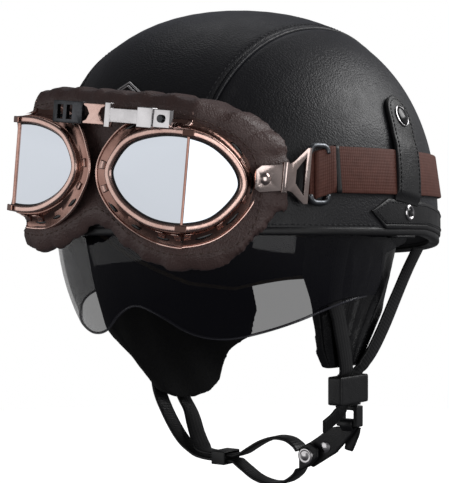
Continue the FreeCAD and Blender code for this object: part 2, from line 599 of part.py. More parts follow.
keep("chin_strap_left_rear", web([(105, 30, -9), (98, 30, -22), (92, 27, -38), (87.6, 18.5, -57),
                                  (84.2, 11.5, -70), (81, 6.6, -78), (77.8, 3.6, -84.6),
                                  (76.6, 3.5, RING_TOP + 0.2)]))
keeper = box(72, 81.4, -19.6, 12.5, KEEPER_LOW, KEEPER_TOP)
keep("strap_keeper", keeper.cut(box(73.8, 79.6, -17.8, 10.7, KEEPER_LOW - 1, KEEPER_TOP + 1)))

# ---- pieces let into the ones they lie on, then the files -------------------------------
let_in("goggle_frame_right", "bridge_bracket_right")
let_in("goggle_frame_left", "bridge_plate")
let_in("goggle_pad", "bridge_bracket_right", "bridge_plate")
let_in("chin_strap_right_inner", "ear_flap_right", "strap_slider")
let_in("chin_strap_left_front", "ear_flap_left")
let_in("seam_piping", "goggle_strap", "rear_band")
let_in("neck_skirt", "impact_liner")
for side in ("left", "right"):
    let_in("strap_tab_" + side, "tab_snap_cap_" + side)

os.makedirs("parts", exist_ok=True)
for name, shape in made.items():
    shape.exportStep("parts/" + name + ".step")
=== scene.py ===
"""Looks of the leather half helmet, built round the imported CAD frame.

Shapes are worked out in millimetres in the frame's axes (+Z up, the wearer faces -Y,
the wearer's left is +X) and become metres when a mesh is made.
"""
import bpy
import bmesh
import math
from mathutils import Matrix, Vector
from mathutils.bvhtree import BVHTree

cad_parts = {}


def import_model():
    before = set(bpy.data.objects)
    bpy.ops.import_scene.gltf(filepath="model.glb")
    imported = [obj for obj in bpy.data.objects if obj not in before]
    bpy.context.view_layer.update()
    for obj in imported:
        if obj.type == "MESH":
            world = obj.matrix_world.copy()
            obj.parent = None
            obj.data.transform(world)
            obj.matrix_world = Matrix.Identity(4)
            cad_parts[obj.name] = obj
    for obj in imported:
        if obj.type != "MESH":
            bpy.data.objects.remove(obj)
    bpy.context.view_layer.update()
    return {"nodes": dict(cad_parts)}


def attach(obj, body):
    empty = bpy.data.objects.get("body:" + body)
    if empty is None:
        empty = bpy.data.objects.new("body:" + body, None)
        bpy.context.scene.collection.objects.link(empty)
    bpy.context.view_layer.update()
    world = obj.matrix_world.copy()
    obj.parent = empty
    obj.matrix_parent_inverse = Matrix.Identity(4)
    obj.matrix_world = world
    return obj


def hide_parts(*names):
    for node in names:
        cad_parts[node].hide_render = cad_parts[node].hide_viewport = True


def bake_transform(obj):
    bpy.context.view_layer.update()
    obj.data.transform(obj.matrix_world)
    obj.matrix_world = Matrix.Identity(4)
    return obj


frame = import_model()
nodes = frame["nodes"]
MM = 0.001
UP = Vector((0, 0, 1))

# ---- driving sizes, mm, the same as the CAD's ----------------------------------------
N = 2.35                             # exponent of the crown's superellipse
A, B, H = 116.0, 131.5, 135.0        # outer leather: half width, half length, height
DIP_START, DIP_END, DIP = 20.0, 145.0, 14.0
SEAM_TOP, SEAM_PULL, SEAM_REACH = 62.0, 18.0, 131.0
WELT = 1.6
STRAP_Z, STRAP_H, STRAP_T = 34.0, 26.0, 1.6
GOG_Z, GOG_Y, GOG_ROLL = 32.5, -142.7, 6.0
DIV_X, FRONT_AZ, SIDE_AZ = 60.3, 5.7, 50.0
CUP_HALF = 26.8
BEZEL_W = 4.0
PIVOT_Y, PIVOT_Z = 8.0, 8.0
VISOR_R, VISOR_W = 126.0, 105.0      # the visor's outer face: reach round the pivots, half width


# ---- materials -----------------------------------------------------------------------
class Shader:
    """A Principled material that grows its detail node by node."""

    def __init__(self, name, colour, roughness, metallic=0.0, **sockets):
        self.material = bpy.data.materials.new(name)
        self.material.use_nodes = True
        self.tree = self.material.node_tree
        self.bsdf = self.tree.nodes["Principled BSDF"]
        self.bsdf.inputs["Base Color"].default_value = (*colour, 1)
        self.bsdf.inputs["Roughness"].default_value = roughness
        self.bsdf.inputs["Metallic"].default_value = metallic
        for key, value in sockets.items():
            self.bsdf.inputs[key.replace("_", " ")].default_value = value
        self.coords = self.tree.nodes.new("ShaderNodeTexCoord")
        self.height = None

    def new(self, kind, **values):
        node = self.tree.nodes.new(kind)
        for key, value in values.items():
            if hasattr(node, key):
                setattr(node, key, value)
            else:
                node.inputs[key.replace("_", " ")].default_value = value
        return node

    def link(self, a, b):
        self.tree.links.new(a, b)

    def texture(self, kind, scale, space="Object", stretch=None, **values):
        """A texture output in metres of object space, or of the piece's own UVs."""
        node = self.new(kind, Scale=scale, **values)
        source = self.coords.outputs[space]
        if stretch:
            mapping = self.new("ShaderNodeMapping")
            mapping.inputs["Scale"].default_value = stretch
            self.link(source, mapping.inputs["Vector"])
            source = mapping.outputs["Vector"]
        self.link(source, node.inputs["Vector"])
        return node

    def bump(self, output, distance, strength=1.0, invert=False):
        node = self.new("ShaderNodeBump", Strength=strength, Distance=distance, invert=invert)
        self.link(output, node.inputs["Height"])
        if self.height is not None:
            self.link(self.height, node.inputs["Normal"])
        self.height = node.outputs["Normal"]
        self.link(self.height, self.bsdf.inputs["Normal"])
        return self

    def ramp(self, output, socket, low, high, start=0.3, end=0.7):
        """Drive a colour or number by a texture, between two values."""
        node = self.new("ShaderNodeValToRGB")
        stops = node.color_ramp.elements
        stops[0].position, stops[1].position = start, end
        for stop, value in zip(stops, (low, high)):
            stop.color = (*value, 1) if isinstance(value, tuple) else (value, value, value, 1)
        self.link(output, node.inputs["Fac"])
        self.link(node.outputs["Color"], self.bsdf.inputs[socket])
        return self


def leather(name, dark, light, rough, pebble, depth, crease=0.0, sheen=0.0):
    s = Shader(name, light, rough[0], Sheen_Weight=sheen, Sheen_Roughness=0.45)
    s.bsdf.inputs["Sheen Tint"].default_value = (0.75, 0.8, 1.0, 1)
    patches = s.texture("ShaderNodeTexNoise", 26.0, Detail=3.0)
    s.ramp(patches.outputs["Fac"], "Base Color", dark, light)
    wear = s.texture("ShaderNodeTexNoise", 90.0, Detail=4.0)
    s.ramp(wear.outputs["Fac"], "Roughness", rough[0], rough[1])
    cells = s.texture("ShaderNodeTexVoronoi", pebble, feature="SMOOTH_F1", Smoothness=0.55)
    s.bump(cells.outputs["Distance"], depth, 1.0, True)
    fine = s.texture("ShaderNodeTexNoise", pebble * 2.6, Detail=4.0)
    s.bump(fine.outputs["Fac"], depth * 0.35)
    if crease:
        folds = s.texture("ShaderNodeTexNoise", 42.0, Detail=5.0, Distortion=1.4)
        s.bump(folds.outputs["Fac"], crease)
    return s.material


def weave(name, colour, light, rough, pitch, depth, sheen=0.3, space="UV"):
    """Cloth of two crossing sets of threads, pitch in mm."""
    s = Shader(name, colour, rough, Sheen_Weight=sheen, Sheen_Roughness=0.5)
    turns = 1.0 / (pitch * MM) / 20.0 * math.pi
    warp = s.texture("ShaderNodeTexWave", turns, space, bands_direction="X", Distortion=0.4)
    weft = s.texture("ShaderNodeTexWave", turns * 0.8, space, bands_direction="Y", Distortion=0.4)
    tint = s.texture("ShaderNodeTexNoise", 240.0, Detail=4.0)
    s.ramp(tint.outputs["Fac"], "Base Color", colour, light)
    s.bump(warp.outputs["Fac"], depth)
    s.bump(weft.outputs["Fac"], depth)
    return s.material


def cloth(name, colour, light, rough, scale, depth, sheen=0.1):
    """Knitted or brushed lining with a short nap."""
    s = Shader(name, colour, rough, Sheen_Weight=sheen, Sheen_Roughness=0.6)
    nap = s.texture("ShaderNodeTexVoronoi", scale, feature="F1")
    fuzz = s.texture("ShaderNodeTexNoise", scale * 0.35, Detail=6.0)
    s.ramp(fuzz.outputs["Fac"], "Base Color", colour, light)
    s.bump(nap.outputs["Distance"], depth)
    s.bump(fuzz.outputs["Fac"], depth)
    return s.material


def metal(name, dark, light, rough, scratch=0.00002, **sockets):
    s = Shader(name, light, rough, 1.0, **sockets)
    tone = s.texture("ShaderNodeTexNoise", 60.0, Detail=3.0)
    s.ramp(tone.outputs["Fac"], "Base Color", dark, light)
    marks = s.texture("ShaderNodeTexNoise", 700.0, Detail=2.0)
    s.ramp(marks.outputs["Fac"], "Roughness", rough * 0.8, rough * 1.35)
    s.bump(marks.outputs["Fac"], scratch)
    return s.material


def plastic(name, colour, rough, scale, depth):
    s = Shader(name, colour, rough)
    skin = s.texture("ShaderNodeTexNoise", scale, Detail=5.0)
    s.ramp(skin.outputs["Fac"], "Roughness", rough, min(rough + 0.15, 1.0))
    s.bump(skin.outputs["Fac"], depth)
    return s.material


def foam_beads():
    s = Shader("impact_foam", (0.03, 0.03, 0.032), 0.85)
    beads = s.texture("ShaderNodeTexVoronoi", 330.0, feature="SMOOTH_F1")
    s.bump(beads.outputs["Distance"], 0.0006, 1.0, True)
    return s.material


def glossy(name, colour, rough, metallic, scale, dull, **sockets):
    """Glass or mirror whose gloss varies a little."""
    s = Shader(name, colour, rough, metallic, **sockets)
    haze = s.texture("ShaderNodeTexNoise", scale, Detail=2.0)
    s.ramp(haze.outputs["Fac"], "Roughness", *dull)
    return s.material


RECIPES = {
    leather: {
        "black_leather": ((0.009, 0.009, 0.011), (0.017, 0.017, 0.020),
                          (0.40, 0.50), 900.0, 0.00017, 0.0, 0.08),
        "black_leather_trim": ((0.007, 0.007, 0.008), (0.013, 0.013, 0.015),
                               (0.38, 0.50), 1300.0, 0.0001, 0.0004),
        "flap_leather": ((0.008, 0.008, 0.009), (0.014, 0.014, 0.016),
                         (0.22, 0.34), 1100.0, 0.0001, 0.0012),
        "brown_leather": ((0.090, 0.052, 0.047), (0.146, 0.093, 0.086),
                          (0.42, 0.56), 900.0, 0.00026, 0.0010, 0.04),
    },
    plastic: {
        "thread": ((0.030, 0.030, 0.034), 0.55, 2500.0, 0.00005),
        "brown_thread": ((0.13, 0.085, 0.07), 0.6, 2500.0, 0.00005),
        "shell_plastic": ((0.02, 0.02, 0.022), 0.45, 900.0, 0.00005),
        "black_plastic": ((0.012, 0.012, 0.013), 0.34, 1200.0, 0.00003),
        "enamel": ((0.008, 0.008, 0.009), 0.12, 400.0, 0.00001),
    },
    cloth: {
        "black_fabric": ((0.002, 0.002, 0.0025), (0.006, 0.006, 0.007), 0.9, 1500.0, 0.0002, 0.03),
    },
    weave: {
        "gold_piping": ((0.20, 0.14, 0.06), (0.34, 0.25, 0.11), 0.55, 1.1, 0.0003, 0.2, "Object"),
        "brown_elastic": ((0.122, 0.037, 0.024), (0.165, 0.055, 0.038), 0.7, 0.7, 0.00006, 0.04),
        "black_webbing": ((0.004, 0.004, 0.005), (0.009, 0.009, 0.010), 0.45, 1.0, 0.00008, 0.03),
    },
    metal: {
        "copper": ((0.66, 0.42, 0.36), (0.84, 0.60, 0.53), 0.24),
        "copper_dark": ((0.30, 0.165, 0.135), (0.45, 0.27, 0.225), 0.20),
        "rose_silver": ((0.66, 0.52, 0.48), (0.82, 0.69, 0.65), 0.16),
        "grey_metal": ((0.13, 0.14, 0.15), (0.22, 0.23, 0.25), 0.34),
        "silver": ((0.62, 0.60, 0.61), (0.80, 0.78, 0.79), 0.14),
        "gunmetal": ((0.045, 0.047, 0.05), (0.09, 0.092, 0.10), 0.30),
    },
}
M = {name: make(name, *recipe) for make, finishes in RECIPES.items() for name, recipe in finishes.items()}
M["impact_foam"] = foam_beads()
M["mirror_lens"] = glossy("mirror_lens", (0.70, 0.74, 0.80), 0.03, 1.0, 22.0, (0.02, 0.06))
M["smoke_visor"] = glossy("smoke_visor", (0.014, 0.014, 0.020), 0.04, 0.0, 14.0, (0.03, 0.06), Alpha=0.54,
                          Specular_IOR_Level=0.42)
# the visor's cut edge, seen end on, is denser than its face; its colour, lighter than the face's, is a
# painted highlight for the light the edge catches
M["smoke_edge_highlight"] = glossy("smoke_edge_highlight", (0.07, 0.07, 0.085), 0.12, 0.0, 120.0, (0.10, 0.22), Alpha=0.8)


# ---- mesh helpers --------------------------------------------------------------------
def linked(name, data):
    """A new object in the scene."""
    obj = bpy.data.objects.new(name, data)
    bpy.context.scene.collection.objects.link(obj)
    return obj


def dress(mesh, material, smooth=True):
    mesh.materials.append(M[material])
    mesh.polygons.foreach_set("use_smooth", [smooth] * len(mesh.polygons))


def side_of(sign):
    return "left" if sign > 0 else "right"


def mesh_object(name, verts, faces, material, smooth=True, uvs=None):
    """An object from points in mm, its normals turned outwards."""
    mesh = bpy.data.meshes.new(name)
    mesh.from_pydata([Vector(v) * MM for v in verts], [], faces)
    if uvs:
        layer = mesh.uv_layers.new(name="UVMap")
        for loop in mesh.loops:
            layer.data[loop.index].uv = uvs[loop.vertex_index]
    bm = bmesh.new()
    bm.from_mesh(mesh)
    bmesh.ops.remove_doubles(bm, verts=bm.verts, dist=0.00001)
    bmesh.ops.recalc_face_normals(bm, faces=bm.faces)
    bm.to_mesh(mesh)
    bm.free()
    dress(mesh, material, smooth)
    return linked(name, mesh)


def fit(obj, body, slot, *replaced):
    """Make a piece part of the object: its body and the CAD nodes it stands for; slot, the finish, is not
    used.
    """
    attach(obj, body)
    if replaced:
        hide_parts(*replaced)
    return obj


def grid_faces(rows, cols, wrap_rows=False, wrap_cols=False):
    faces = []
    for i in range(rows if wrap_rows else rows - 1):
        for j in range(cols if wrap_cols else cols - 1):
            a, b = i * cols + j, i * cols + (j + 1) % cols
            c, d = ((i + 1) % rows) * cols + (j + 1) % cols, ((i + 1) % rows) * cols + j
            faces.append((a, b, c, d))
    return faces


def run_faces(rows, cols, start=0, closed=False):
    """Skin over equal closed sections; an open run gets its two end faces."""
    faces = grid_faces(rows, cols, closed, True)
    if not closed:
        faces.append(tuple(range(cols)))
        faces.append(tuple((rows - 1) * cols + k for k in reversed(range(cols))))
    return [tuple(start + k for k in f) for f in faces]


def slab(name, rows, thickness, material):
    """Closed sheet from a grid of (point, normal), thickened inwards along the normals."""
    count, cols = len(rows), len(rows[0])
    top = [p for row in rows for p, n in row]
    low = [p - n * thickness for row in rows for p, n in row]
    base = len(top)
    faces = grid_faces(count, cols)
    faces += [tuple(base + k for k in reversed(f)) for f in grid_faces(count, cols)]
    ring = [j for j in range(cols)]
    ring += [i * cols + cols - 1 for i in range(1, count)]
    ring += [(count - 1) * cols + j for j in range(cols - 2, -1, -1)]
    ring += [i * cols for i in range(count - 2, 0, -1)]
    for a, b in zip(ring, ring[1:] + ring[:1]):
        faces.append((b, a, base + a, base + b))
    obj = mesh_object(name, top + low, faces, material)
    crisp(obj)
    return obj


def crisp(obj, angle=50.0):
    """Split the shading at hard edges and keep it smooth elsewhere."""
    mesh = obj.data
    bm = bmesh.new()
    bm.from_mesh(mesh)
    for e in bm.edges:
        e.smooth = not (len(e.link_faces) == 2 and e.calc_face_angle(0) > math.radians(angle))
    bm.to_mesh(mesh)
    bm.free()


def curve(points, per=8, closed=False):
    """Catmull-Rom line through points."""
    p = [Vector(q) for q in points]
    out = []
    spans = len(p) if closed else len(p) - 1
    for i in range(spans):
        if closed:
            a, b, c, d = (p[(i + k) % len(p)] for k in (-1, 0, 1, 2))
        else:
            b, c = p[i], p[i + 1]
            a = p[i - 1] if i else b + (b - c)
            d = p[i + 2] if i + 2 < len(p) else c + (c - b)
        for k in range(per):
            t = k / per
            out.append(0.5 * ((2 * b) + (c - a) * t + (2 * a - 5 * b + 4 * c - d) * t * t
                              + (3 * b - a - 3 * c + d) * t ** 3))
    if not closed:
        out.append(p[-1])
    return out


def resample(points, pitch, closed=False):
    """Points at an even pitch along a line."""
    p = points + points[:1] if closed else points
    lengths = [(b - a).length for a, b in zip(p, p[1:])]
    total = sum(lengths)
    count = max(2, round(total / pitch))
    out, i, gone = [], 0, 0.0
    for k in range(count + (0 if closed else 1)):
        goal = total * k / count
        while i < len(lengths) - 1 and gone + lengths[i] < goal:
            gone += lengths[i]
            i += 1
        t = (goal - gone) / max(lengths[i], 1e-9)
        out.append(p[i].lerp(p[i + 1], min(t, 1.0)))
    return out


def tangents(points, closed=False):
    out = []
    for i in range(len(points)):
        if closed:
            a, b = points[i - 1], points[(i + 1) % len(points)]
        else:
            a, b = points[max(i - 1, 0)], points[min(i + 1, len(points) - 1)]
        out.append((b - a).normalized())
    return out


def tube(name, path, radius, material, closed=False, sides=12, ups=None):
    """Round cord along a line."""
    verts = []
    for i, (p, t) in enumerate(zip(path, tangents(path, closed))):
        side = t.cross(ups[i] if ups else UP).normalized()
        lift_dir = side.cross(t).normalized()
        for k in range(sides):
            a = 2 * math.pi * k / sides
            verts.append(p + side * math.cos(a) * radius + lift_dir * math.sin(a) * radius)
    return mesh_object(name, verts, run_faces(len(path), sides, closed=closed), material)


def sweep(name, frames, profile, material, closed=True, uvs=False):
    """Carry a closed (a, b) profile along frames of (origin, a axis, b axis)."""
    verts = [o + a * p + b * q for o, a, b in frames for p, q in profile]
    faces = run_faces(len(frames), len(profile), closed=closed)
    layer = None
    if uvs:
        layer, run = [], 0.0
        for i, (o, a, b) in enumerate(frames):
            if i:
                run += (o - frames[i - 1][0]).length
            layer += [(run * MM, p * MM) for p, q in profile]
    return mesh_object(name, verts, faces, material, uvs=layer)


def rounded(width, thick, corner=4):
    """Closed outline of a flat strap's section, its ends half round."""
    r = thick / 2
    out = []
    for cx, start in ((width / 2 - r, -90), (-width / 2 + r, 90)):
        for k in range(corner + 1):
            a = math.radians(start + 180 * k / corner)
            out.append((cx + r * math.cos(a), r * math.sin(a)))
    return out


def revolve(name, centre, axis, profile, material, sides=40):
    """Turned piece: profile of (radius, height along the axis), from the axis and back to it."""
    axis = Vector(axis).normalized()
    u = axis.orthogonal().normalized()
    w = axis.cross(u)
    verts = []
    for r, h in profile:
        for k in range(sides):
            a = 2 * math.pi * k / sides
            verts.append(Vector(centre) + axis * h + (u * math.cos(a) + w * math.sin(a)) * max(r, 0.001))
    faces = grid_faces(len(profile), sides, False, True)
    obj = mesh_object(name, verts, faces, material)
    crisp(obj, 40)
    return obj


def refine(node, body, slot, material, bevel):
    """The CAD piece with its edges broken and its flats kept flat."""
    source = nodes[node].data
    bm = bmesh.new()
    bm.from_mesh(source)
    bmesh.ops.remove_doubles(bm, verts=bm.verts, dist=0.000005)
    bmesh.ops.dissolve_limit(bm, angle_limit=math.radians(1.0), verts=bm.verts, edges=bm.edges)
    mesh = bpy.data.meshes.new(node + "_fine")
    bm.to_mesh(mesh)
    bm.free()
    dress(mesh, material)
    obj = linked(node + "_fine", mesh)
    mod = obj.modifiers.new("edges", "BEVEL")
    mod.width = bevel * MM
    mod.segments = 3
    mod.limit_method = "ANGLE"
    mod.angle_limit = math.radians(35)
    mod.harden_normals = True
    return fit(obj, body, slot, node)


def soften(node, voxel, rounds, material, shape):
    """A padded piece from a CAD solid: remeshed, relaxed and then sculpted by shape(point, normal)."""
    mesh = nodes[node].data.copy()
    mesh.materials.clear()
    obj = linked(node + "_soft", mesh)
    remesh = obj.modifiers.new("remesh", "REMESH")
    remesh.mode = "VOXEL"
    remesh.voxel_size = voxel * MM
    relax = obj.modifiers.new("relax", "SMOOTH")
    relax.factor = 0.5
    relax.iterations = rounds
    baked = bpy.data.meshes.new_from_object(obj.evaluated_get(bpy.context.evaluated_depsgraph_get()))
    obj.modifiers.clear()
    obj.data = baked
    normals = [v.normal.copy() for v in baked.vertices]
    for v, n in zip(baked.vertices, normals):
        v.co = (v.co / MM + shape(v.co / MM, n)) * MM
    dress(baked, material)
    return obj


def stitches(name, runs, material, body, slot, pitch=3.6, length=2.5, radius=0.34, proud=0.1):
    """Thread stitches along runs of (points, normals), each a short arched lozenge."""
    verts, faces = [], []
    sides, rings = 6, 5
    for points, normals in runs:
        even = resample(points, pitch)
        tan = tangents(even)
        for p, t in zip(even[:-1], tan):
            near = min(range(len(points)), key=lambda k: (points[k] - p).length_squared)
            n = normals[near]
            side = t.cross(n).normalized()
            start = len(verts)
            for i in range(rings):
                s = -1 + 2 * i / (rings - 1)
                r = radius * math.sqrt(max(1 - (s * 0.93) ** 2, 0.02))
                c = p + t * (s * length / 2) + n * (proud - 0.55 * radius * s * s)
                for k in range(sides):
                    a = 2 * math.pi * k / sides
                    verts.append(c + side * math.cos(a) * r + n * math.sin(a) * r)
            faces += run_faces(rings, sides, start)
    return fit(mesh_object(name, verts, faces, material), body, slot)


# ---- crown surface -------------------------------------------------------------------
def rim_z(y):
    return -DIP * max(0.0, (y - DIP_START) / (DIP_END - DIP_START))


def seam_x(y):
    return SEAM_TOP - SEAM_PULL * (y / SEAM_REACH) ** 2


def crown_normal(p):
    rho = math.hypot(p.x / A, p.y / B) ** (N - 2)
    n = Vector((rho * p.x / A ** 2, rho * p.y / B ** 2, max(p.z, 0.0) ** (N - 1) / H ** N))
    return n.normalized()


def lift(p, offset):
    return p + crown_normal(p) * offset


def ring_scale(z):
    """Size of the crown's level section at a height, as a share of the rim's."""
    return max(0.0, 1 - (max(z, 0.0) / H) ** N) ** (1 / N)


def around(phi, z, offset=0.0):
    """Point on the crown by azimuth (0 is the wearer's left, 90 degrees the nape) and height."""
    s = ring_scale(z)
    return lift(Vector((A * s * math.cos(phi), B * s * math.sin(phi), z)), offset)


def side_point(y, z, offset=0.0, sign=1):
    """Point on the side of the crown by its place in the side view."""
    s = ring_scale(z)
    x = A * math.sqrt(max(0.0, s ** 2 - (y / B) ** 2))
    return lift(Vector((sign * x, y, z)), offset)


def settled(x, y, z):
    """A crown point carried down to the dipping rim at the nape."""
    return Vector((x, y, z + rim_z(y) * (1 - z / H) ** 6))


def plan_point(x, y):
    """Point on the crown over a place in plan."""
    rho = min(1.0, math.hypot(x / A, y / B))
    return settled(x, y, H * (1 - rho ** N) ** (1 / N))


def seam_foot(offset):
    """y where the seam, moved sideways by offset, meets the rim at the nape."""
    y = 120.0
    for _ in range(20):
        y = B * math.sqrt(1 - ((seam_x(y) + offset) / A) ** 2)
    return y


COVER_T = 1.4
CREASE, CREASE_WIDTH = 0.9, 1.1
PUFF, PUFF_AT, PUFF_WIDTH = 0.35, 4.5, 3.0


def near_seam(d):
    """Height of the leather at a distance from the welt: a crease, then a slight swell."""
    return PUFF * math.exp(-((d - PUFF_AT) / PUFF_WIDTH) ** 2) - CREASE * math.exp(-(d / CREASE_WIDTH) ** 2)


def centre_panel():
    half = [1, 0.992, 0.982, 0.97, 0.955, 0.93, 0.9, 0.86, 0.8, 0.7, 0.58, 0.45, 0.3, 0.15]
    us = [-u for u in half] + [0.0] + half[::-1]
    steps = 130
    rows = []
    for i in range(steps + 1):
        v = -1 + 2 * i / steps
        row = []
        for u in us:
            y, z = 0.0, 0.0
            for _ in range(14):
                x = u * (seam_x(y) - WELT / 2)
                t = math.acos(min(1.0, abs(x) / A) ** (N / 2)) * (1 - v * v)
                rho = math.cos(t) ** (2 / N)
                y = math.copysign(B * math.sqrt(max(0.0, rho ** 2 - (x / A) ** 2)), v)
            z = H * math.sin(t) ** (2 / N)
            p = settled(x, y, z)
            d = (1 - abs(u)) * seam_x(y)
            row.append((lift(p, near_seam(d)), crown_normal(p)))
        rows.append(row)
    return slab("leather_centre", rows, COVER_T, "black_leather")


def side_panel(sign):
    steps, depth = 120, 34
    foot = seam_foot(WELT / 2)
    x_foot = seam_x(foot) + WELT / 2
    phi_end = math.atan2(foot / B, x_foot / A)
    rows = []
    for i in range(steps + 1):
        s = i / steps
        ys = -foot * math.cos(math.pi * s)
        xs = seam_x(ys) + WELT / 2
        rho = min(1.0, math.hypot(xs / A, ys / B))
        t_seam = math.acos(rho ** (N / 2))
        phi_seam = math.atan2(ys / B, xs / A)
        phi_rim = phi_end * (2 * s - 1)
        row = []
        for k in range(depth + 1):
            w = (k / depth) ** 1.6
            t = t_seam * (1 - w)
            phi = phi_seam + (phi_rim - phi_seam) * w
            rho = math.cos(t) ** (2 / N)
            z = H * math.sin(t) ** (2 / N)
            y = B * rho * math.sin(phi)
            p = settled(sign * A * rho * math.cos(phi), y, z)
            if not k:
                start = p
            row.append((lift(p, near_seam((p - start).length)), crown_normal(p)))
        rows.append(row)
    return slab("leather_" + side_of(sign), rows, COVER_T, "black_leather")


fit(centre_panel(), "helmet", "black_leather", "leather_panel_centre")
fit(side_panel(1), "helmet", "black_leather", "leather_panel_left")
fit(side_panel(-1), "helmet", "black_leather", "leather_panel_right")


def seam_line(sign, shift, offset, count=150):
    foot = seam_foot(shift)
    out = []
    for i in range(count + 1):
        y = -foot * math.cos(math.pi * i / count)
        out.append(lift(plan_point(sign * (seam_x(y) + shift), y), offset))
    return out


for sign in (1, -1):
    line = seam_line(sign, 0.0, -0.45)
    cord = tube("seam_welt_" + side_of(sign), line, 1.25, "black_leather",
                ups=[crown_normal(p) for p in line])
    fit(cord, "helmet", "black_leather_trim", "seam_piping")

SEAM_STITCH, RIM_STITCH = 3.6, 4.0
runs = []
for sign in (1, -1):
    line = seam_line(sign, -SEAM_STITCH, 0.28)
    runs.append((line, [crown_normal(p) for p in line]))
rim_loop = [around(2 * math.pi * k / 240, 0.0) for k in range(241)]
rim_loop = [Vector((p.x, p.y, rim_z(p.y) + RIM_STITCH)) for p in rim_loop]
runs.append(([lift(p, 0.05) for p in rim_loop], [crown_normal(p) for p in rim_loop]))
stitches("cover_stitches", runs, "thread", "helmet", "black_leather_trim")


def rim_binding():
    profile = [(-0.6, 2.9), (0.10, 2.6), (0.42, 1.7), (0.55, 0.4), (0.45, -0.8), (0.0, -1.55), (-0.9, -1.8),
               (-3.0, -1.8), (-4.8, -1.5), (-5.6, -0.7), (-5.8, 0.4), (-5.4, 1.0), (-3.0, 1.2)]
    frames = []
    for k in range(200):
        phi = 2 * math.pi * k / 200
        p = Vector((A * math.cos(phi), B * math.sin(phi), 0))
        p.z = rim_z(p.y)
        frames.append((p, crown_normal(Vector((p.x, p.y, 0))), UP))
    return sweep("rim_fold", frames, profile, "black_leather_trim")


fit(rim_binding(), "helmet", "black_leather_trim", "rim_trim")


# ---- rear band -----------------------------------------------------------------------
TIP_Y, TIP_Z = -38.2, 12.0
TOP_EDGE = [(TIP_Y, TIP_Z), (-24.0, 19.3), (20.0, 17.5), (60.0, 13.0), (100.0, 7.5), (140.0, 4.0)]
LOW_EDGE = [(TIP_Y, TIP_Z), (-26.5, 1.6), (20.0, 1.6), (60.0, -1.8), (100.0, -7.2), (140.0, -11.2)]
BAND_T = 1.3


def along_edge(edge, y):
    for (ya, za), (yb, zb) in zip(edge, edge[1:]):
        if y <= yb:
            return za + (zb - za) * max(0.0, (y - ya) / (yb - ya))
    return edge[-1][1]


def band_point(phi, v, offset):
    y = B * math.sin(phi)
    z = along_edge(LOW_EDGE, y) * (1 - v) + along_edge(TOP_EDGE, y) * v
    return around(phi, z, offset)


def rear_band():
    start = math.asin(TIP_Y / B)
    vs = [0, 0.02, 0.06, 0.12, 0.155, 0.17, 0.185, 0.22, 0.35, 0.5, 0.65, 0.8, 0.9, 0.96, 0.99, 1]
    groove = 0.17
    rows = []
    corners = [math.asin(-26.5 / B), math.asin(-24.0 / B)]
    phis = [start + (math.pi - 2 * start) * k / 200 for k in range(201)]
    phis = sorted(phis + corners + [math.pi - c for c in corners] + [start + 0.004, math.pi - start - 0.004])
    for phi in phis:
        row = []
        for v in vs:
            edge = min(v, 1 - v) * 17.0
            height = BAND_T * (1 - math.exp(-(edge + 0.15) / 0.45))
            height -= 0.35 * math.exp(-((v - groove) / 0.012) ** 2)
            p = band_point(phi, v, height)
            row.append((p, crown_normal(p)))
        rows.append(row)
    return slab("nape_band", rows, 0.9, "black_leather_trim")


fit(rear_band(), "helmet", "black_leather_trim", "rear_band")

INSET = 2.4
FINE_STITCH = (2.6, 1.9, 0.27)       # pitch, length and thread radius
runs = []
for sign in (1, -1):
    arrow = [(110.0, 6.6 - INSET), (60.0, 13.0 - INSET), (20.0, 17.5 - INSET), (-23.4, 19.3 - INSET),
             (TIP_Y + 4.2, TIP_Z), (-25.4, 1.6 + INSET + 1.0), (20.0, 1.6 + INSET + 1.6),
             (60.0, -1.8 + INSET + 1.6), (110.0, -8.3 + INSET + 1.6)]
    flat = resample([Vector((0, y, z)) for y, z in arrow], 1.2)
    line = [side_point(p.y, p.z, BAND_T + 0.05, sign) for p in flat]
    runs.append((line, [crown_normal(p) for p in line]))
stitches("band_stitches", runs, "thread", "helmet", "black_leather_trim", *FINE_STITCH)

EYELET_Y, EYELET_Z = -4.0, 11.2
for sign in (1, -1):
    at = side_point(EYELET_Y, EYELET_Z, 1.2, sign)
    out = crown_normal(at)
    name = side_of(sign)
    ring = [(2.6, 0), (4.5, 0), (4.6, 0.5), (4.2, 1.0), (3.5, 1.15), (2.9, 0.8), (2.7, 0.2), (2.6, 0)]
    fit(revolve("eyelet_ring_" + name, at, out, ring, "silver"), "helmet", "silver", "rear_band_eyelets")
    # the enamel dome fills the eyelet's hole: a dark disc, painted shade for the hole's dark inside
    dome = [(0, -0.2), (2.75, -0.2), (2.7, 0.25), (1.9, 0.7), (1.0, 0.9), (0, 0.95)]
    fit(revolve("eyelet_hole_shade_" + name, at, out, dome, "enamel"), "helmet", "gunmetal")


# ---- strap tabs ----------------------------------------------------------------------
TAB_W, TAB_T, TAB_LENGTH = 24.5, 1.6, 46.5
TAB_FOOT = (-5.4, 20.0)
TAB_LEAN = math.radians(8.3)


def tab_yz(along, across):
    y = TAB_FOOT[0] + along * math.sin(TAB_LEAN) + across * math.cos(TAB_LEAN)
    return y, TAB_FOOT[1] + along * math.cos(TAB_LEAN) - across * math.sin(TAB_LEAN)


def tab_height(along):
    """Outer face over the leather: low at the foot, over the strap, down to the snap."""
    rise = min(1.0, max(0.0, (along + 3.0) / 5.0))
    fall = min(1.0, max(0.0, (along - 27.0) / 9.0))
    ease = rise * rise * (3 - 2 * rise)
    drop = fall * fall * (3 - 2 * fall)
    return 1.9 + 2.1 * ease - 0.9 * drop


def tab_point(along, across, sign, offset=0.0):
    y, z = tab_yz(along, across)
    return side_point(y, z, tab_height(along) + offset, sign)


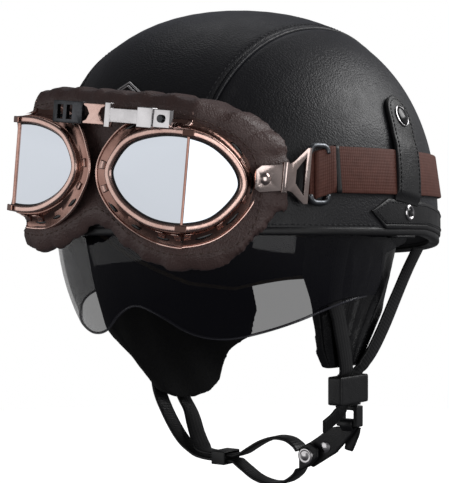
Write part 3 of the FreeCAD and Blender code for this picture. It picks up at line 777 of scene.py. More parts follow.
def strap_tab(sign):
    half = TAB_W / 2
    alongs = [-3.5, -2, 0, 1, 2, 3, 4.5] + [6 + 2.5 * k for k in range(16)] + [TAB_LENGTH]
    round_end = (10, 20, 30, 40, 50, 60, 68, 75, 81, 86, 89)
    alongs += [TAB_LENGTH + half * math.sin(math.radians(a)) for a in round_end]
    shares = [-1, -0.985, -0.95, -0.9, -0.84, -0.7, -0.45, -0.2, 0.0]
    shares += [-s for s in shares[-2::-1]]
    rows = []
    for a in alongs:
        width = half * math.sqrt(max(0.0, 1 - max(0.0, (a - TAB_LENGTH) / half) ** 2))
        row = []
        for s in shares:
            side = (1 - abs(s)) * width
            end = half + TAB_LENGTH - a
            edge = min(side, end)
            dip = 0.55 * math.exp(-edge / 0.5) + 0.18 * math.exp(-((edge - 2.2) / 0.6) ** 2)
            p = tab_point(a, s * width, sign, -dip)
            row.append((p, crown_normal(p)))
        rows.append(row)
    return slab("snap_tab_" + side_of(sign), rows, TAB_T, "black_leather_trim")


for sign, body in ((1, "tab_left"), (-1, "tab_right")):
    name = body[4:]
    tab = strap_tab(sign)
    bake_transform(tab)
    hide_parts("strap_tab_" + name)
    inset = TAB_W / 2 - 2.2
    path = [(k, -inset) for k in range(2, 47, 2)]
    path += [(TAB_LENGTH + inset * math.sin(math.radians(a)), -inset * math.cos(math.radians(a)))
             for a in range(8, 180, 8)]
    path += [(k, inset) for k in range(46, 1, -2)]
    line = [tab_point(a, c, sign, 0.0) for a, c in path]
    stitches("tab_stitches_" + name, [(line, [crown_normal(p) for p in line])], "thread", body,
             "black_leather_trim", *FINE_STITCH)
    at = tab_point(TAB_LENGTH, 0, sign)
    out = crown_normal(at)
    rim = [(5.6, 0.0), (6.5, 0.0), (6.65, 0.3), (6.5, 0.65), (6.15, 0.8), (5.75, 0.7), (5.6, 0.3), (5.6, 0.0)]
    dome = [(0, -0.3), (5.9, -0.3), (5.95, 0.3), (5.6, 0.85), (4.9, 1.3), (3.6, 1.75), (2.0, 2.05), (0, 2.15)]
    fit(revolve("snap_ring_" + name, at, out, rim, "silver"), body, "gunmetal", "tab_snap_cap_" + name)
    fit(revolve("snap_dome_" + name, at, out, dome, "enamel"), body, "gunmetal")
    root = side_point(*tab_yz(TAB_LENGTH, 0), 0.0, sign)
    stud = [(0, 0), (4.9, 0), (5.0, 0.3), (4.4, 0.7), (2.6, 0.8), (2.4, 1.2), (2.1, 1.45), (0, 1.5)]
    fit(revolve("snap_stud_" + name, root, out, stud, "silver"), "helmet", "silver")
    if sign > 0:
        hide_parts("tab_snap_studs")


def tab_foot(sign):
    """Leather end of the tab, folded under the rim below the band."""
    frames = []
    for k in range(15):
        y = -17.0 + 20.6 * k / 14
        phi = math.asin(y / B)
        p = Vector((sign * A * math.cos(phi), y, 0))
        frames.append((p, crown_normal(p), UP))
    profile = [(0.75, -1.9), (0.8, -2.6), (0.4, -3.1), (-1.0, -3.25),
               (-4.6, -3.2), (-5.9, -2.9), (-6.3, -2.4), (-5.8, -1.9)]
    return sweep("tab_fold_" + side_of(sign), frames, profile, "black_leather_trim", False)


fit(tab_foot(1), "helmet", "black_leather_trim", "tab_feet")
fit(tab_foot(-1), "helmet", "black_leather_trim")

# ---- goggle strap --------------------------------------------------------------------
END_DROP = 0.45 * 98.0 * math.sin(math.radians(GOG_ROLL))
STRAP_FRONT = [(-64.0, 101.0, 0.0), (-68.5, 99.4, 0.3), (-73.5, 97.8, 0.6), (-79.0, 96.2, 1.0)]


def strap_frames():
    """Centre, across and outward directions of the strap, from the left end round to the right."""
    wrap = []
    first = math.asin(-60.0 / (B * ring_scale(STRAP_Z)))
    for k in range(161):
        phi = first + (math.pi - 2 * first) * k / 160
        p = around(phi, STRAP_Z, 1.2)
        across = (around(phi, STRAP_Z + 10, 1.2) - around(phi, STRAP_Z - 10, 1.2)).normalized()
        wrap.append((p, across))
    ends = []
    for sign in (1, -1):
        ends.append([(Vector((sign * x, y, STRAP_Z - sign * END_DROP * share)), UP)
                     for y, x, share in STRAP_FRONT])
    stations = ends[0][::-1] + wrap + ends[1]
    line = curve([p for p, a in stations], 2)
    acrosses = []
    for i in range(len(line)):
        j = min(i / 2, len(stations) - 1)
        lo, hi = int(j), min(int(j) + 1, len(stations) - 1)
        acrosses.append(stations[lo][1].lerp(stations[hi][1], j - lo).normalized())
    frames = []
    for p, t, across in zip(line, tangents(line), acrosses):
        out = across.cross(t).normalized()
        if out.dot(Vector((p.x, p.y, 0))) < 0:
            out = -out
        frames.append((p, across, out))
    return frames


def stretched(obj):
    """A strap piece, its transform baked into its mesh and attached to no body, though the strap rides the
    helmet at its back end and the goggles at its front end.
    """
    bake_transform(obj)
    return obj


FRAMES = strap_frames()
strap = sweep("goggle_elastic", FRAMES, rounded(STRAP_H, STRAP_T, 4), "brown_elastic", False, True)
crisp(strap, 60)
stretched(strap)
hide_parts("goggle_strap")


def strap_return(sign):
    """The strap's free end, doubled back over itself behind the adjuster and sewn down."""
    frames = [f for f in FRAMES if -77.0 < f[0].y < -60.5 and f[0].x * sign > 0]
    frames = [(p + out * 1.5, across, out) for p, across, out in frames]
    obj = sweep("strap_fold_" + side_of(sign), frames, rounded(STRAP_H - 0.6, 1.3, 4),
                "brown_elastic", False, True)
    return stretched(obj)


for sign in (1, -1):
    strap_return(sign)

# ---- goggles -------------------------------------------------------------------------
TILT = Matrix.Translation((0, GOG_Y, GOG_Z)) @ Matrix.Rotation(math.radians(GOG_ROLL), 4, "Y")


def tilt(p, sign=1):
    """A goggle point from its untilted place, mirrored for the wearer's right."""
    return TILT @ Vector((sign * p.x, p.y, p.z))


def panel(azimuth):
    a = math.radians(azimuth)
    return Vector((math.cos(a), math.sin(a), 0)), Vector((math.sin(a), -math.cos(a), 0))


FRONT_U, FRONT_N = panel(FRONT_AZ)
SIDE_U, SIDE_N = panel(SIDE_AZ)
FOLD_N = (FRONT_N + SIDE_N) / (1 + FRONT_N.dot(SIDE_N))
CUP = [(0, CUP_HALF), (-20, 26.4), (-39, 20), (-49.5, 6), (-49, -5), (-39, -17), (-21, -25.5), (0, -CUP_HALF),
       (17, -22.5), (29, -11.5), (34, 0), (29, 12), (16, 22.5)]


def cup_outline(count=168):
    """Even points (u, v) round the eye cup, unfolded flat, and outward directions."""
    line = resample(curve([(u, v, 0) for u, v in CUP], 12, True), 178.0 / count, True)
    outs = [Vector((t.y, -t.x, 0)) for t in tangents(line, True)]
    if outs[0].dot(line[0]) < 0:
        outs = [-o for o in outs]
    return line, outs


CUP_LINE, CUP_OUT = cup_outline()


def facing(u):
    """Direction the cup faces at u, turning smoothly over the fold."""
    t = min(1.0, max(0.0, (u + 5.0) / 10.0))
    t = t * t * (3 - 2 * t)
    if t < 0.5:
        return FRONT_N.lerp(FOLD_N, t * 2)
    return FOLD_N.lerp(SIDE_N, t * 2 - 1)


def cup_point(u, v, n):
    """Point in the untilted goggles, n in front of the bezel's face."""
    along = SIDE_U if u > 0 else FRONT_U
    return Vector((DIV_X, 0, v)) + along * u + facing(u) * n


def nose_share(u):
    """1 at the nose end of the cup and 0 over its outer half."""
    return min(1.0, max(0.0, (-u - 18.0) / 30.0))


def cup_ring(name, profile, material, sign):
    """Ring round the cup. profile(i) lists (outward, forward) pairs at outline point i."""
    verts = []
    for i, (p, o) in enumerate(zip(CUP_LINE, CUP_OUT)):
        for out, n in profile(i):
            q = p + o * out
            verts.append(tilt(cup_point(q.x, q.y, n), sign))
    cols = len(profile(0))
    faces = grid_faces(len(CUP_LINE), cols, True, True)
    obj = mesh_object(name, verts, faces, material)
    crisp(obj, 42)
    return obj


def bezel_profile(i):
    return [(-4.0, -1.9), (-3.9, -0.7), (-3.4, -0.15), (-2.6, 0.0), (-1.2, 0.0), (-0.45, -0.2), (0.0, -0.8),
            (0.0, -3.2), (-0.3, -3.6), (-3.6, -3.6), (-4.0, -3.2)]


def dish_depth(i):
    return -10.4 + 6.6 * nose_share(CUP_LINE[i].x)


def dish_reach(i):
    return 8.6 - 1.4 * nose_share(CUP_LINE[i].x)


def dish_profile(i):
    low, reach = dish_depth(i), dish_reach(i)
    mid = -3.4 + (low + 3.4) * 0.72
    return [(-0.5, -3.2), (0.5, -3.4), (1.1, mid * 0.55 - 1.4), (2.2, mid), (4.6, low + 0.7),
            (reach - 0.6, low), (reach, low - 0.1), (reach, low - 1.0), (2.0, low - 1.0),
            (-0.2, low - 0.6), (-0.9, -4.2)]


def lip_profile(i):
    low, reach = dish_depth(i), dish_reach(i)
    return [(reach + 0.75 * math.cos(a), low - 0.2 + 0.95 * math.sin(a))
            for a in (2 * math.pi * k / 10 for k in range(10))]


def gasket_profile(i):
    return [(-4.9, -2.3), (-4.8, -1.75), (-4.3, -1.6), (-3.9, -1.75), (-3.9, -2.6), (-4.9, -2.6)]


def lens(name, sign, keep_nose):
    """One flat pane of the cup, set inside the bezel."""
    inner = [p - o * BEZEL_W for p, o in zip(CUP_LINE, CUP_OUT)]
    gap = 0.55
    pane = [p for p in inner if (p.x < -gap if keep_nose else p.x > gap)]
    if keep_nose:
        pane.sort(key=lambda p: -math.atan2(p.y, p.x + 8) % (2 * math.pi))
    else:
        pane.sort(key=lambda p: math.atan2(p.y, p.x - 8))
    edge = -gap if keep_nose else gap
    top = max(p.y for p in pane if abs(p.x - edge) < 3)
    low = min(p.y for p in pane if abs(p.x - edge) < 3)
    pane = [Vector((edge, low, 0))] + pane + [Vector((edge, top, 0))]
    along, out = (FRONT_U, FRONT_N) if keep_nose else (SIDE_U, SIDE_N)
    middle = sum(pane, Vector()) / len(pane)
    rings = [1.0, 0.985, 0.9, 0.75, 0.5, 0.25]
    verts = []
    for depth in (0.0, -1.3):
        for r in rings:
            for p in pane:
                q = middle + (p - middle) * r
                bulge = 0.5 * (1 - r * r) - (0.25 if r == 1.0 and not depth else 0.0)
                flat = Vector((DIV_X, 0, q.y)) + along * q.x + out * (-2.1 + bulge + depth)
                verts.append(tilt(flat, sign))
    count, layers = len(pane), len(rings)
    faces = []
    for half in (0, 1):
        base = half * layers * count
        block = [tuple(base + k for k in f) for f in grid_faces(layers, count, False, True)]
        block.append(tuple(base + (layers - 1) * count + k for k in range(count)))
        faces += block
    base = layers * count
    faces += [(k, (k + 1) % count, base + (k + 1) % count, base + k) for k in range(count)]
    obj = mesh_object(name, verts, faces, "mirror_lens")
    crisp(obj, 30)
    return obj


def goggle_box(name, origin, u, v, n, size, material, bevel):
    """Small bar with broken edges: centre, directions and (u, v, n) size, untilted place."""
    verts = []
    for c in (-1, 1):
        for b in (-1, 1):
            for a in (-1, 1):
                verts.append(origin + u * (a * size[0] / 2) + v * (b * size[1] / 2) + n * (c * size[2] / 2))
    faces = [(0, 1, 3, 2), (4, 6, 7, 5), (0, 4, 5, 1), (2, 3, 7, 6), (0, 2, 6, 4), (1, 5, 7, 3)]
    obj = mesh_object(name, verts, faces, material, smooth=False)
    mod = obj.modifiers.new("edges", "BEVEL")
    mod.width = bevel * MM
    mod.segments = 3
    return obj


def divider(side, sign):
    """Thin bar between the two panes."""
    z_top = CUP_HALF - 3.2
    rows = 9
    verts = []
    section = [(-0.75, -2.0), (-0.6, -1.2), (0.0, -0.9), (0.6, -1.2), (0.75, -2.0), (0.0, -3.0)]
    u = FRONT_U.lerp(SIDE_U, 0.5).normalized()
    for i in range(rows):
        z = -z_top + 2 * z_top * i / (rows - 1)
        verts += [tilt(Vector((DIV_X, 0, z)) + u * a + FOLD_N * b, sign) for a, b in section]
    obj = mesh_object("pane_divider_" + side, verts, run_faces(rows, len(section)), "copper_dark")
    crisp(obj, 35)
    return obj


def vents(side, sign):
    """Slot vents with turned-up lips, spaced round the dish, drawn as dark raised lozenges: painted shade for
    the dark inside of each slot.
    """
    verts, faces = [], []
    total, span = len(CUP_LINE), 4
    section = ((-1.1, 0.0), (-0.6, 0.3), (0.6, 0.3), (1.1, 0.0))
    for share in (0.05, 0.115, 0.18, 0.36, 0.43, 0.50, 0.57, 0.64, 0.71, 0.79, 0.87, 0.94):
        spot = round(total * share)
        low = dish_depth(spot)
        start = len(verts)
        for k in range(-span, span + 1):
            i = (spot + k) % total
            p, o = CUP_LINE[i], CUP_OUT[i]
            taper = math.sqrt(max(0.05, 1 - (k / (span + 0.4)) ** 2))
            for out, n in section:
                q = p + o * (5.0 + out * taper)
                verts.append(tilt(cup_point(q.x, q.y, low + 0.45 + n), sign))
        faces += run_faces(2 * span + 1, len(section), start)
    return mesh_object("dish_vents_" + side, verts, faces, "enamel")


def dish_tabs(side, sign):
    """Small bright tongues that clamp the dish to the bezel."""
    verts, faces = [], []
    total, stations = len(CUP_LINE), (-1.6, -1.3, 0, 1.3, 1.6)
    for share in (0.02, 0.275, 0.325, 0.50, 0.545, 0.60, 0.675, 0.76, 0.84):
        spot = round(total * share)
        low = dish_depth(spot)
        section = ((1.4, -3.6), (2.2, low * 0.5 - 0.9), (3.4, low * 0.8), (4.8, low + 1.5),
                   (4.8, low + 0.7), (2.0, low * 0.8 - 0.4))
        faces += run_faces(len(stations), len(section), len(verts))
        for k in stations:
            i = (spot + round(k)) % total
            p, o = CUP_LINE[i], CUP_OUT[i]
            tangent = Vector((-o.y, o.x, 0))
            for out, n in section:
                q = p + o * out + tangent * (k - round(k))
                verts.append(tilt(cup_point(q.x, q.y, n), sign))
    return mesh_object("dish_tongues_" + side, verts, faces, "copper")


def clip(side, sign, up):
    """Clip over the bezel where the panes meet."""
    z = up * (CUP_HALF - 1.9)
    n = FOLD_N.normalized()
    u = n.cross(UP).normalized()
    m = TILT @ (Matrix.Scale(sign, 4, (1, 0, 0)) if sign < 0 else Matrix.Identity(4))
    origin = m @ (Vector((DIV_X, 0, z)) + n * 0.2)
    turn = m.to_3x3()
    name = f"pane_clip_{side}_{'top' if up > 0 else 'low'}"
    return goggle_box(name, origin, turn @ u, turn @ UP, turn @ n, (6.2, 3.6, 1.2), "copper_dark", 0.4)


for side, sign in (("left", 1), ("right", -1)):
    for ring, profile, material, slot, node in (
            ("bezel_ring_", bezel_profile, "copper", "copper", ["lens_bezel_" + side]),
            ("dish_", dish_profile, "copper_dark", "copper_dark", ["goggle_frame_" + side]),
            ("dish_lip_", lip_profile, "copper", "copper", []),
            ("gasket_", gasket_profile, "shell_plastic", "black_plastic", [])):
        fit(cup_ring(ring + side, profile, material, sign), "goggles", slot, *node)
    fit(lens("pane_front_" + side, sign, True), "goggles", "mirror_lens", "lens_front_" + side)
    fit(lens("pane_side_" + side, sign, False), "goggles", "mirror_lens", "lens_side_" + side)
    fit(divider(side, sign), "goggles", "copper_dark")
    fit(vents(side, sign), "goggles", "copper_dark")
    fit(dish_tabs(side, sign), "goggles", "copper")
    for up in (1, -1):
        fit(clip(side, sign, up), "goggles", "copper_dark")
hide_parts("lens_clips")

# nose bridge and side hardware keep their CAD shapes with the edges broken
for node, slot, material, bevel in (
        ("bridge_bracket_right", "copper_dark", "gunmetal", 0.35),
        ("bridge_link", "copper", "copper", 0.35),
        ("bridge_bar", "silver", "silver", 0.35),
        ("bridge_collar", "silver", "silver", 0.35),
        ("bridge_plate", "silver", "silver", 0.35),
        ("bridge_screw", "gunmetal", "gunmetal", 0.35),
        ("side_plates", "copper", "rose_silver", 0.45),
        ("side_loops", "copper", "rose_silver", 0.45)):
    refine(node, "goggles", slot, material, bevel)


def middle_of(node, sign):
    """Middle of one side's part of a mirrored CAD piece, mm."""
    pts = [v.co / MM for v in nodes[node].data.vertices if v.co.x * sign > 0]
    low = Vector([min(p[k] for p in pts) for k in range(3)])
    high = Vector([max(p[k] for p in pts) for k in range(3)])
    return (low + high) / 2


def side_rivet(side, sign):
    """Domed rivet that pins the strap loop to the side plate."""
    middle = middle_of("side_rivets", sign)
    out = Vector((sign * 0.86, -0.51, 0)).normalized()
    dome = [(0, -1.0), (3.3, -1.0), (3.4, -0.3), (3.1, 0.4), (2.3, 1.0), (1.2, 1.35), (0, 1.45)]
    return revolve("rivet_dome_" + side, middle, out, dome, "rose_silver")


RING_S, RING_Z, RING_R, RING_WIRE = 6.4, 15.4, 4.0, 1.6
RING_Y, GAP_SHADE_Y = -74.0, -60.5


def strap_frame_at(y, sign):
    return min((f for f in FRAMES if f[0].x * sign > 0), key=lambda f: abs(f[0].y - y))


def adjuster(side, sign):
    """Rounded rectangle of wire that the strap loops through, lying on the strap."""
    p, across, out = strap_frame_at(RING_Y, sign)
    along = across.cross(out).normalized()
    path = []
    for ca, cz, start in ((1, 1, 0), (-1, 1, 90), (-1, -1, 180), (1, -1, 270)):
        for k in range(9):
            a = math.radians(start + 90 * k / 8)
            s = ca * (RING_S - RING_R) + RING_R * math.cos(a)
            z = cz * (RING_Z - RING_R) + RING_R * math.sin(a)
            path.append(p + out * 1.6 + along * s + across * z)
    return tube("adjuster_ring_" + side, resample(path, 0.8, True), RING_WIRE, "grey_metal", closed=True)


def gap_shade_bar(side, sign):
    """Black bar across the strap where its doubled end is sewn down: painted shade for the dark gap at the
    end of the doubled strap.
    """
    p, across, out = strap_frame_at(GAP_SHADE_Y, sign)
    ends = [p + out * 1.5 - across * (STRAP_H / 2 + 0.4), p + out * 1.5 + across * (STRAP_H / 2 + 0.4)]
    line = [ends[0].lerp(ends[1], k / 12) for k in range(13)]
    along = across.cross(out).normalized()
    return sweep("strap_gap_shade_" + side, [(q, along, out) for q in line], rounded(3.4, 1.5, 5),
                 "black_plastic", False)


for side, sign in (("left", 1), ("right", -1)):
    fit(side_rivet(side, sign), "goggles", "copper")
    fit(adjuster(side, sign), "goggles", "gunmetal")
    stretched(gap_shade_bar(side, sign))
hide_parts("side_rivets")
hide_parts("strap_adjusters")


# ---- goggle pad ----------------------------------------------------------------------
PAD = [(0, 44.5), (22, 45), (46, 44), (66, 39), (82, 27), (89.5, 8), (90.5, -10), (88, -26), (79, -40),
       (60, -47.5), (40, -47.5), (24, -42.5), (11, -35), (0, -29)]
PAD_ROUND = [(x, 0, z) for x, z in PAD + [(-x, z) for x, z in PAD[-2:0:-1]]]
PAD_LINE = resample(curve(PAD_ROUND, 10, True), 1.0, True)
UNTILT = TILT.inverted()
ROLL, ROLL_AT, ROLL_WIDTH = 2.4, 8.5, 5.5
SCALLOP, SCALLOP_PITCH, SCALLOP_REACH = 0.7, 17.0, 9.0


def pad_shape(p, n):
    """A fat roll inside the pad's outline, gathered into scallops."""
    q = UNTILT @ p
    spot = min(range(0, len(PAD_LINE), 2),
               key=lambda k: (PAD_LINE[k].x - q.x) ** 2 + (PAD_LINE[k].z - q.z) ** 2)
    d = math.hypot(PAD_LINE[spot].x - q.x, PAD_LINE[spot].z - q.z)
    roll = ROLL * math.exp(-((d - ROLL_AT) / ROLL_WIDTH) ** 2)
    rim = math.exp(-(d / SCALLOP_REACH) ** 2)
    wave = math.sin(2 * math.pi * spot / SCALLOP_PITCH)
    wave += 0.35 * math.sin(4.4 * math.pi * spot / SCALLOP_PITCH + 1.0)
    return n * (roll + SCALLOP * wave * rim)


pad = soften("goggle_pad", 1.7, 36, "brown_leather", pad_shape)
fit(pad, "goggles", "brown_leather", "goggle_pad")

SURFACE = BVHTree.FromObject(pad, bpy.context.evaluated_depsgraph_get())


def on_pad(x, z):
    """Front of the pad over a goggle-local place, in mm, with its normal."""
    start = TILT @ Vector((x, -60, z))
    hit, normal, _, _ = SURFACE.ray_cast(start * MM, Vector((0, 1, 0)))
    return (hit / MM, normal) if hit else (None, None)


def pad_run(inset):
    """Line on the pad's front a fixed way in from its outline."""
    out = []
    tan = tangents(PAD_LINE, True)
    for p, t in list(zip(PAD_LINE, tan))[::2]:
        side = Vector((t.z, 0, -t.x))
        q = p + side * inset if side.dot(Vector((-p.x, 0, -p.z))) > 0 else p - side * inset
        hit, normal = on_pad(q.x, q.z)
        if hit:
            out.append((hit, normal))
    return out


run = pad_run(9.0)
run.append(run[0])
stitches("pad_stitches", [([p + n * 0.1 for p, n in run], [n for p, n in run])], "brown_thread", "goggles",
         "brown_leather", 4.2, 2.8, 0.36)

# ---- visor ---------------------------------------------------------------------------
def visor_normal(p):
    """Outward direction of the visor's surface of revolution."""
    q = Vector((0, p.y - PIVOT_Y, p.z - PIVOT_Z))
    radial = q.length
    x = abs(p.x)
    nx = (x / VISOR_W) ** (N - 1) / VISOR_W
    nr = (radial / VISOR_R) ** (N - 1) / VISOR_R
    return (Vector((math.copysign(nx, p.x), 0, 0)) + q.normalized() * nr).normalized()


def visor():
    """The CAD lens with true smooth normals on its two faces."""
    mesh = nodes["visor_lens"].data.copy()
    mesh.materials.clear()
    dress(mesh, "smoke_visor")
    normals = []
    for poly in mesh.polygons:
        flat = poly.normal
        for i in poly.loop_indices:
            n = visor_normal(mesh.vertices[mesh.loops[i].vertex_index].co / MM)
            side = flat.dot(n)
            normals.append(n if side > 0.85 else -n if side < -0.85 else flat)
    mesh.normals_split_custom_set([tuple(n) for n in normals])
    return linked("smoke_screen", mesh)


fit(visor(), "visor", "smoke_visor", "visor_lens")


def visor_edge():
    """Polished lower edge of the visor; its lighter colour is a painted highlight for the light it catches.
    """
    half = [(14, -46), (30, -56), (46, -59), (62, -56), (80, -48.5), (98, -36)]
    pts = [(-x, z) for x, z in half[::-1]] + [(0, -41)] + half
    out = []
    for p in curve([(x, 0, z) for x, z in pts], 8):
        q = max(0.0, 1 - (abs(p.x) / (VISOR_W - 1)) ** N) ** (1 / N) * (VISOR_R - 1)
        dz = p.z - PIVOT_Z
        out.append(Vector((p.x, PIVOT_Y - math.sqrt(max(q * q - dz * dz, 0)), p.z - 0.1)))
    return tube("screen_edge", out, 0.75, "smoke_edge_highlight", sides=10)


fit(visor_edge(), "visor", "smoke_visor")
refine("visor_pivot_bosses", "helmet", "shell_plastic", "shell_plastic", 0.4)
refine("visor_pivot_screws", "helmet", "gunmetal", "gunmetal", 0.6)

# ---- shell and liners ----------------------------------------------------------------
for node, material in (("outer_shell", "shell_plastic"), ("impact_liner", "impact_foam")):
    nodes[node].data.materials.clear()
    nodes[node].data.materials.append(M[material])


def front_point(x, z, offset=0.0):
    """Point on the front of the crown by its place in the front view."""
    s = ring_scale(z)
    y = -B * math.sqrt(max(0.0, s ** 2 - (x / A) ** 2))
    return lift(Vector((x, y, z)), offset)


BADGE = [(0.0, 82.6), (14.0, 73.5), (15.0, 66.5), (0.0, 64.6), (-15.0, 66.5), (-14.0, 73.5)]
BADGE_MID, BADGE_STEP = 73.5, 0.22


def badge_rim(name, shrink):
    """Bright raised line that follows the badge's outline."""
    corners = [Vector((x * (1 - shrink), 0, BADGE_MID + (z - BADGE_MID) * (1 - shrink))) for x, z in BADGE]
    flat = resample(corners, 0.7, True)
    line = [front_point(p.x, p.z, 1.35) for p in flat]
    return tube(name, line, 0.7, "silver", closed=True, sides=8, ups=[crown_normal(p) for p in line])


def badge_field():
    rows = []
    for k in range(25):
        z = 64.8 + (82.4 - 64.8) * k / 24
        half = along_edge([(64.6, 1.0), (66.5, 15.0), (73.5, 14.0), (82.6, 0.4)], z)
        row = [front_point(half * u / 8, z, 1.15) for u in range(-8, 9)]
        rows.append([(p, crown_normal(p)) for p in row])
    return slab("badge_field", rows, 1.0, "enamel")


fit(badge_field(), "helmet", "silver", "front_badge")
fit(badge_rim("badge_rim_outer", 0.0), "helmet", "silver")
fit(badge_rim("badge_rim_inner", BADGE_STEP), "helmet", "silver")

PAD_IN = (80.0, 96.0)                # half width and half length of the lining's inner face
LINING_MID = (83.0, 99.0, 113.0)     # surface half way through the lining
QUILT_ROW, QUILT, QUILT_SINK = 37.0, 1.4, 0.6


def quilting(p, n):
    """Lining swells between a centre seam, side seams and two level seams."""
    angle = math.atan2(p.y / PAD_IN[1], p.x / PAD_IN[0])
    across = abs(math.sin(angle * 4 + math.pi / 8))
    level = abs(math.sin(math.pi * max(p.z, 0) / QUILT_ROW))
    x, y, z = (c / size for c, size in zip((p.x, p.y, max(p.z, 0)), LINING_MID))
    if x * x + y * y + z * z >= 1.0 or p.z < 6:
        return Vector()
    return n * (QUILT * (min(across, 0.5) * 2) ** 0.5 * (min(level, 0.5) * 2) ** 0.5 - QUILT_SINK)


lining = soften("comfort_liner", 2.6, 4, "black_fabric", quilting)
fit(lining, "helmet", "black_fabric", "comfort_liner")


def skirt_folds(p, n):
    """Soft upright gathers in the neck skirt, fading out towards the rim."""
    angle = math.atan2(p.y, p.x)
    fade = min(1.0, max(0.0, -p.z / 16.0)) * min(1.0, math.hypot(n.x, n.y)) ** 4
    return n * (0.55 * fade * math.sin(angle * 34 + 2.0 * math.sin(angle * 5)))


skirt = soften("neck_skirt", 1.1, 6, "black_fabric", skirt_folds)
fit(skirt, "helmet", "black_fabric", "neck_skirt")

SKIRT = [(-61, 1.6), (-40, -3.0), (7, -21.0), (40, -33.0), (68, -37.0), (90, -30.0), (110, -25.4)]


def wall_point(phi, z, inset):
    """Point on the cone-shaped wall that the flaps and the skirt are layers of."""
    share = -z / 112.0
    a = 94.0 + (72.0 - 94.0) * share - inset
    b = 108.0 + (92.0 - 108.0) * share - inset
    return Vector((a * math.cos(phi), b * math.sin(phi), z))


def piping():
    line = []
    for k in range(241):
        phi = math.radians(-34) + math.radians(248) * k / 240
        z = -6.0
        for _ in range(6):
            y = wall_point(phi, z, 8.5).y
            z = along_edge(SKIRT, y) - 0.6
        line.append(wall_point(phi, z, 8.6))
    return line


PIPE_LINE = piping()
fit(tube("skirt_piping", PIPE_LINE, 1.5, "gold_piping", sides=12), "helmet", "gold_piping", "liner_piping")


# ---- ear flaps -----------------------------------------------------------------------
GATHER_Y, GATHER_Z = -8.0, -104.0


def flat_share(n):
    """1 on the flap's broad faces, falling to 0 on its edges, which stay smooth."""
    return min(1.0, abs(n.x) * 1.15) ** 4


def pleats(p, n):
    """Long folds that run down the leather flap and gather towards the strap keeper."""
    angle = math.atan2(p.y - GATHER_Y, p.z - GATHER_Z)
    wave = math.sin(angle * 17.0 + 0.9 * math.sin(p.z / 15.0))
    ridge = 1.0 - 2.0 * abs(wave) ** 1.2
    spread = min(1.0, math.hypot(p.y - GATHER_Y, p.z - GATHER_Z) / 48.0)
    fade = min(1.0, max(0.0, (-p.z - 8) / 18.0)) * flat_share(n) * spread
    return n * (1.15 * ridge * fade - 0.3 * flat_share(n))


def far_folds(p, n):
    slant = p.z * 0.3 + p.y
    wave = math.sin(2 * math.pi * slant / 31.0 + 0.5 * math.sin(p.z / 14.0))
    fade = min(1.0, max(0.0, (-p.z - 5) / 20.0))
    return n * (0.8 * wave * fade * flat_share(n))


for node, body, slot, material, shape in (
        ("ear_flap_left", "flap_left", "black_leather_trim", "flap_leather", pleats),
        ("ear_flap_right", "flap_right", "black_fabric", "black_fabric", far_folds)):
    flap = soften(node, 0.9, 36, material, shape)
    fit(flap, body, slot, node)

# ---- chin strap ----------------------------------------------------------------------
WEB_W, WEB_T = 13.0, 2.0


def webbing(name, route, body, node):
    """Woven strap: its width runs along Y and its face is square to the route in XZ."""
    line = curve(route, 8)
    frames = []
    for p, t in zip(line, tangents(line)):
        face = Vector((t.z, 0, -t.x)).normalized()
        width = (Vector((0, 1, 0)) - t * t.y).normalized()
        frames.append((p, width, face))
    obj = sweep(name, frames, rounded(WEB_W, WEB_T, 5), "black_webbing", False, True)
    crisp(obj, 60)
    return fit(obj, body, "black_webbing", node)


UPPER, LOWER = -138.3, -141.6
ROUTES = {
    "web_left_front": ("flap_left", "chin_strap_left_front",
                       [(91.4, -34, -4), (85.2, -33, -36), (84.0, -27, -50), (81.8, -17.5, -68),
                        (80.1, -12.2, -79.8), (77.3, -10.8, -85.3), (76.6, -10.8, -101),
                        (74.5, -14, -107), (71, -22, -113)]),
    "web_left_rear": ("flap_left", "chin_strap_left_rear",
                      [(105, 30, -9), (98, 30, -22), (92, 27, -38), (87.6, 18.5, -57),
                       (84.2, 11.5, -70), (81, 6.6, -78), (77.8, 3.6, -84.6), (76.6, 3.5, -102.2)]),
    "web_right_outer": ("flap_right", "chin_strap_right_outer",
                        [(-77.6, 12, -90), (-74.9, 12, -104), (-66, 10, -118), (-53, 6, -131),
                         (-40, 2, -138), (-28, 0, -141.2), (-5, 0, LOWER)]),
    "web_right_inner": ("flap_right", "chin_strap_right_inner",
                        [(-75.2, 32, -90), (-71.8, 32, -106), (-62, 29, -118), (-50, 18, -127.5),
                         (-38, 7, -134), (-28, 0, -137.6), (-5, 0, UPPER)]),
    "web_loop_upper": ("flap_right", "chin_loop_upper",
                       [(-4.6, 0, UPPER), (1, 0, -136.2), (7, 0, -132.5), (15, 0, -128),
                        (24, 0, -125), (33, 0, -125.2), (39, 0, -128), (42, 0, -131)]),
    "web_loop_lower": ("flap_right", "chin_loop_lower",
                       [(-4.6, 0, LOWER), (2, 0, -145.8), (11, 0, -150.8), (22, 0, -153),
                        (32, 0, -151), (39, 0, -146.5), (42, 0, -142.5)]),
}
for name, (body, node, route) in ROUTES.items():
    webbing(name, route, body, node)
refine("strap_slider", "flap_right", "black_plastic", "black_plastic", 0.9)
for node, body, material, voxel, rounds in (
        ("chin_end_tab", "flap_right", "black_leather_trim", 0.55, 8),
        ("snap_tab", "flap_left", "black_leather_trim", 0.55, 8),
        ("snap_tab_tail", "flap_left", "black_leather_trim", 0.55, 8),
        ("d_ring", "flap_left", "black_plastic", 0.5, 8),
        ("strap_keeper", "flap_left", "black_leather_trim", 0.6, 16)):
    fit(soften(node, voxel, rounds, material, lambda p, n: n * 0.1), body, material, node)


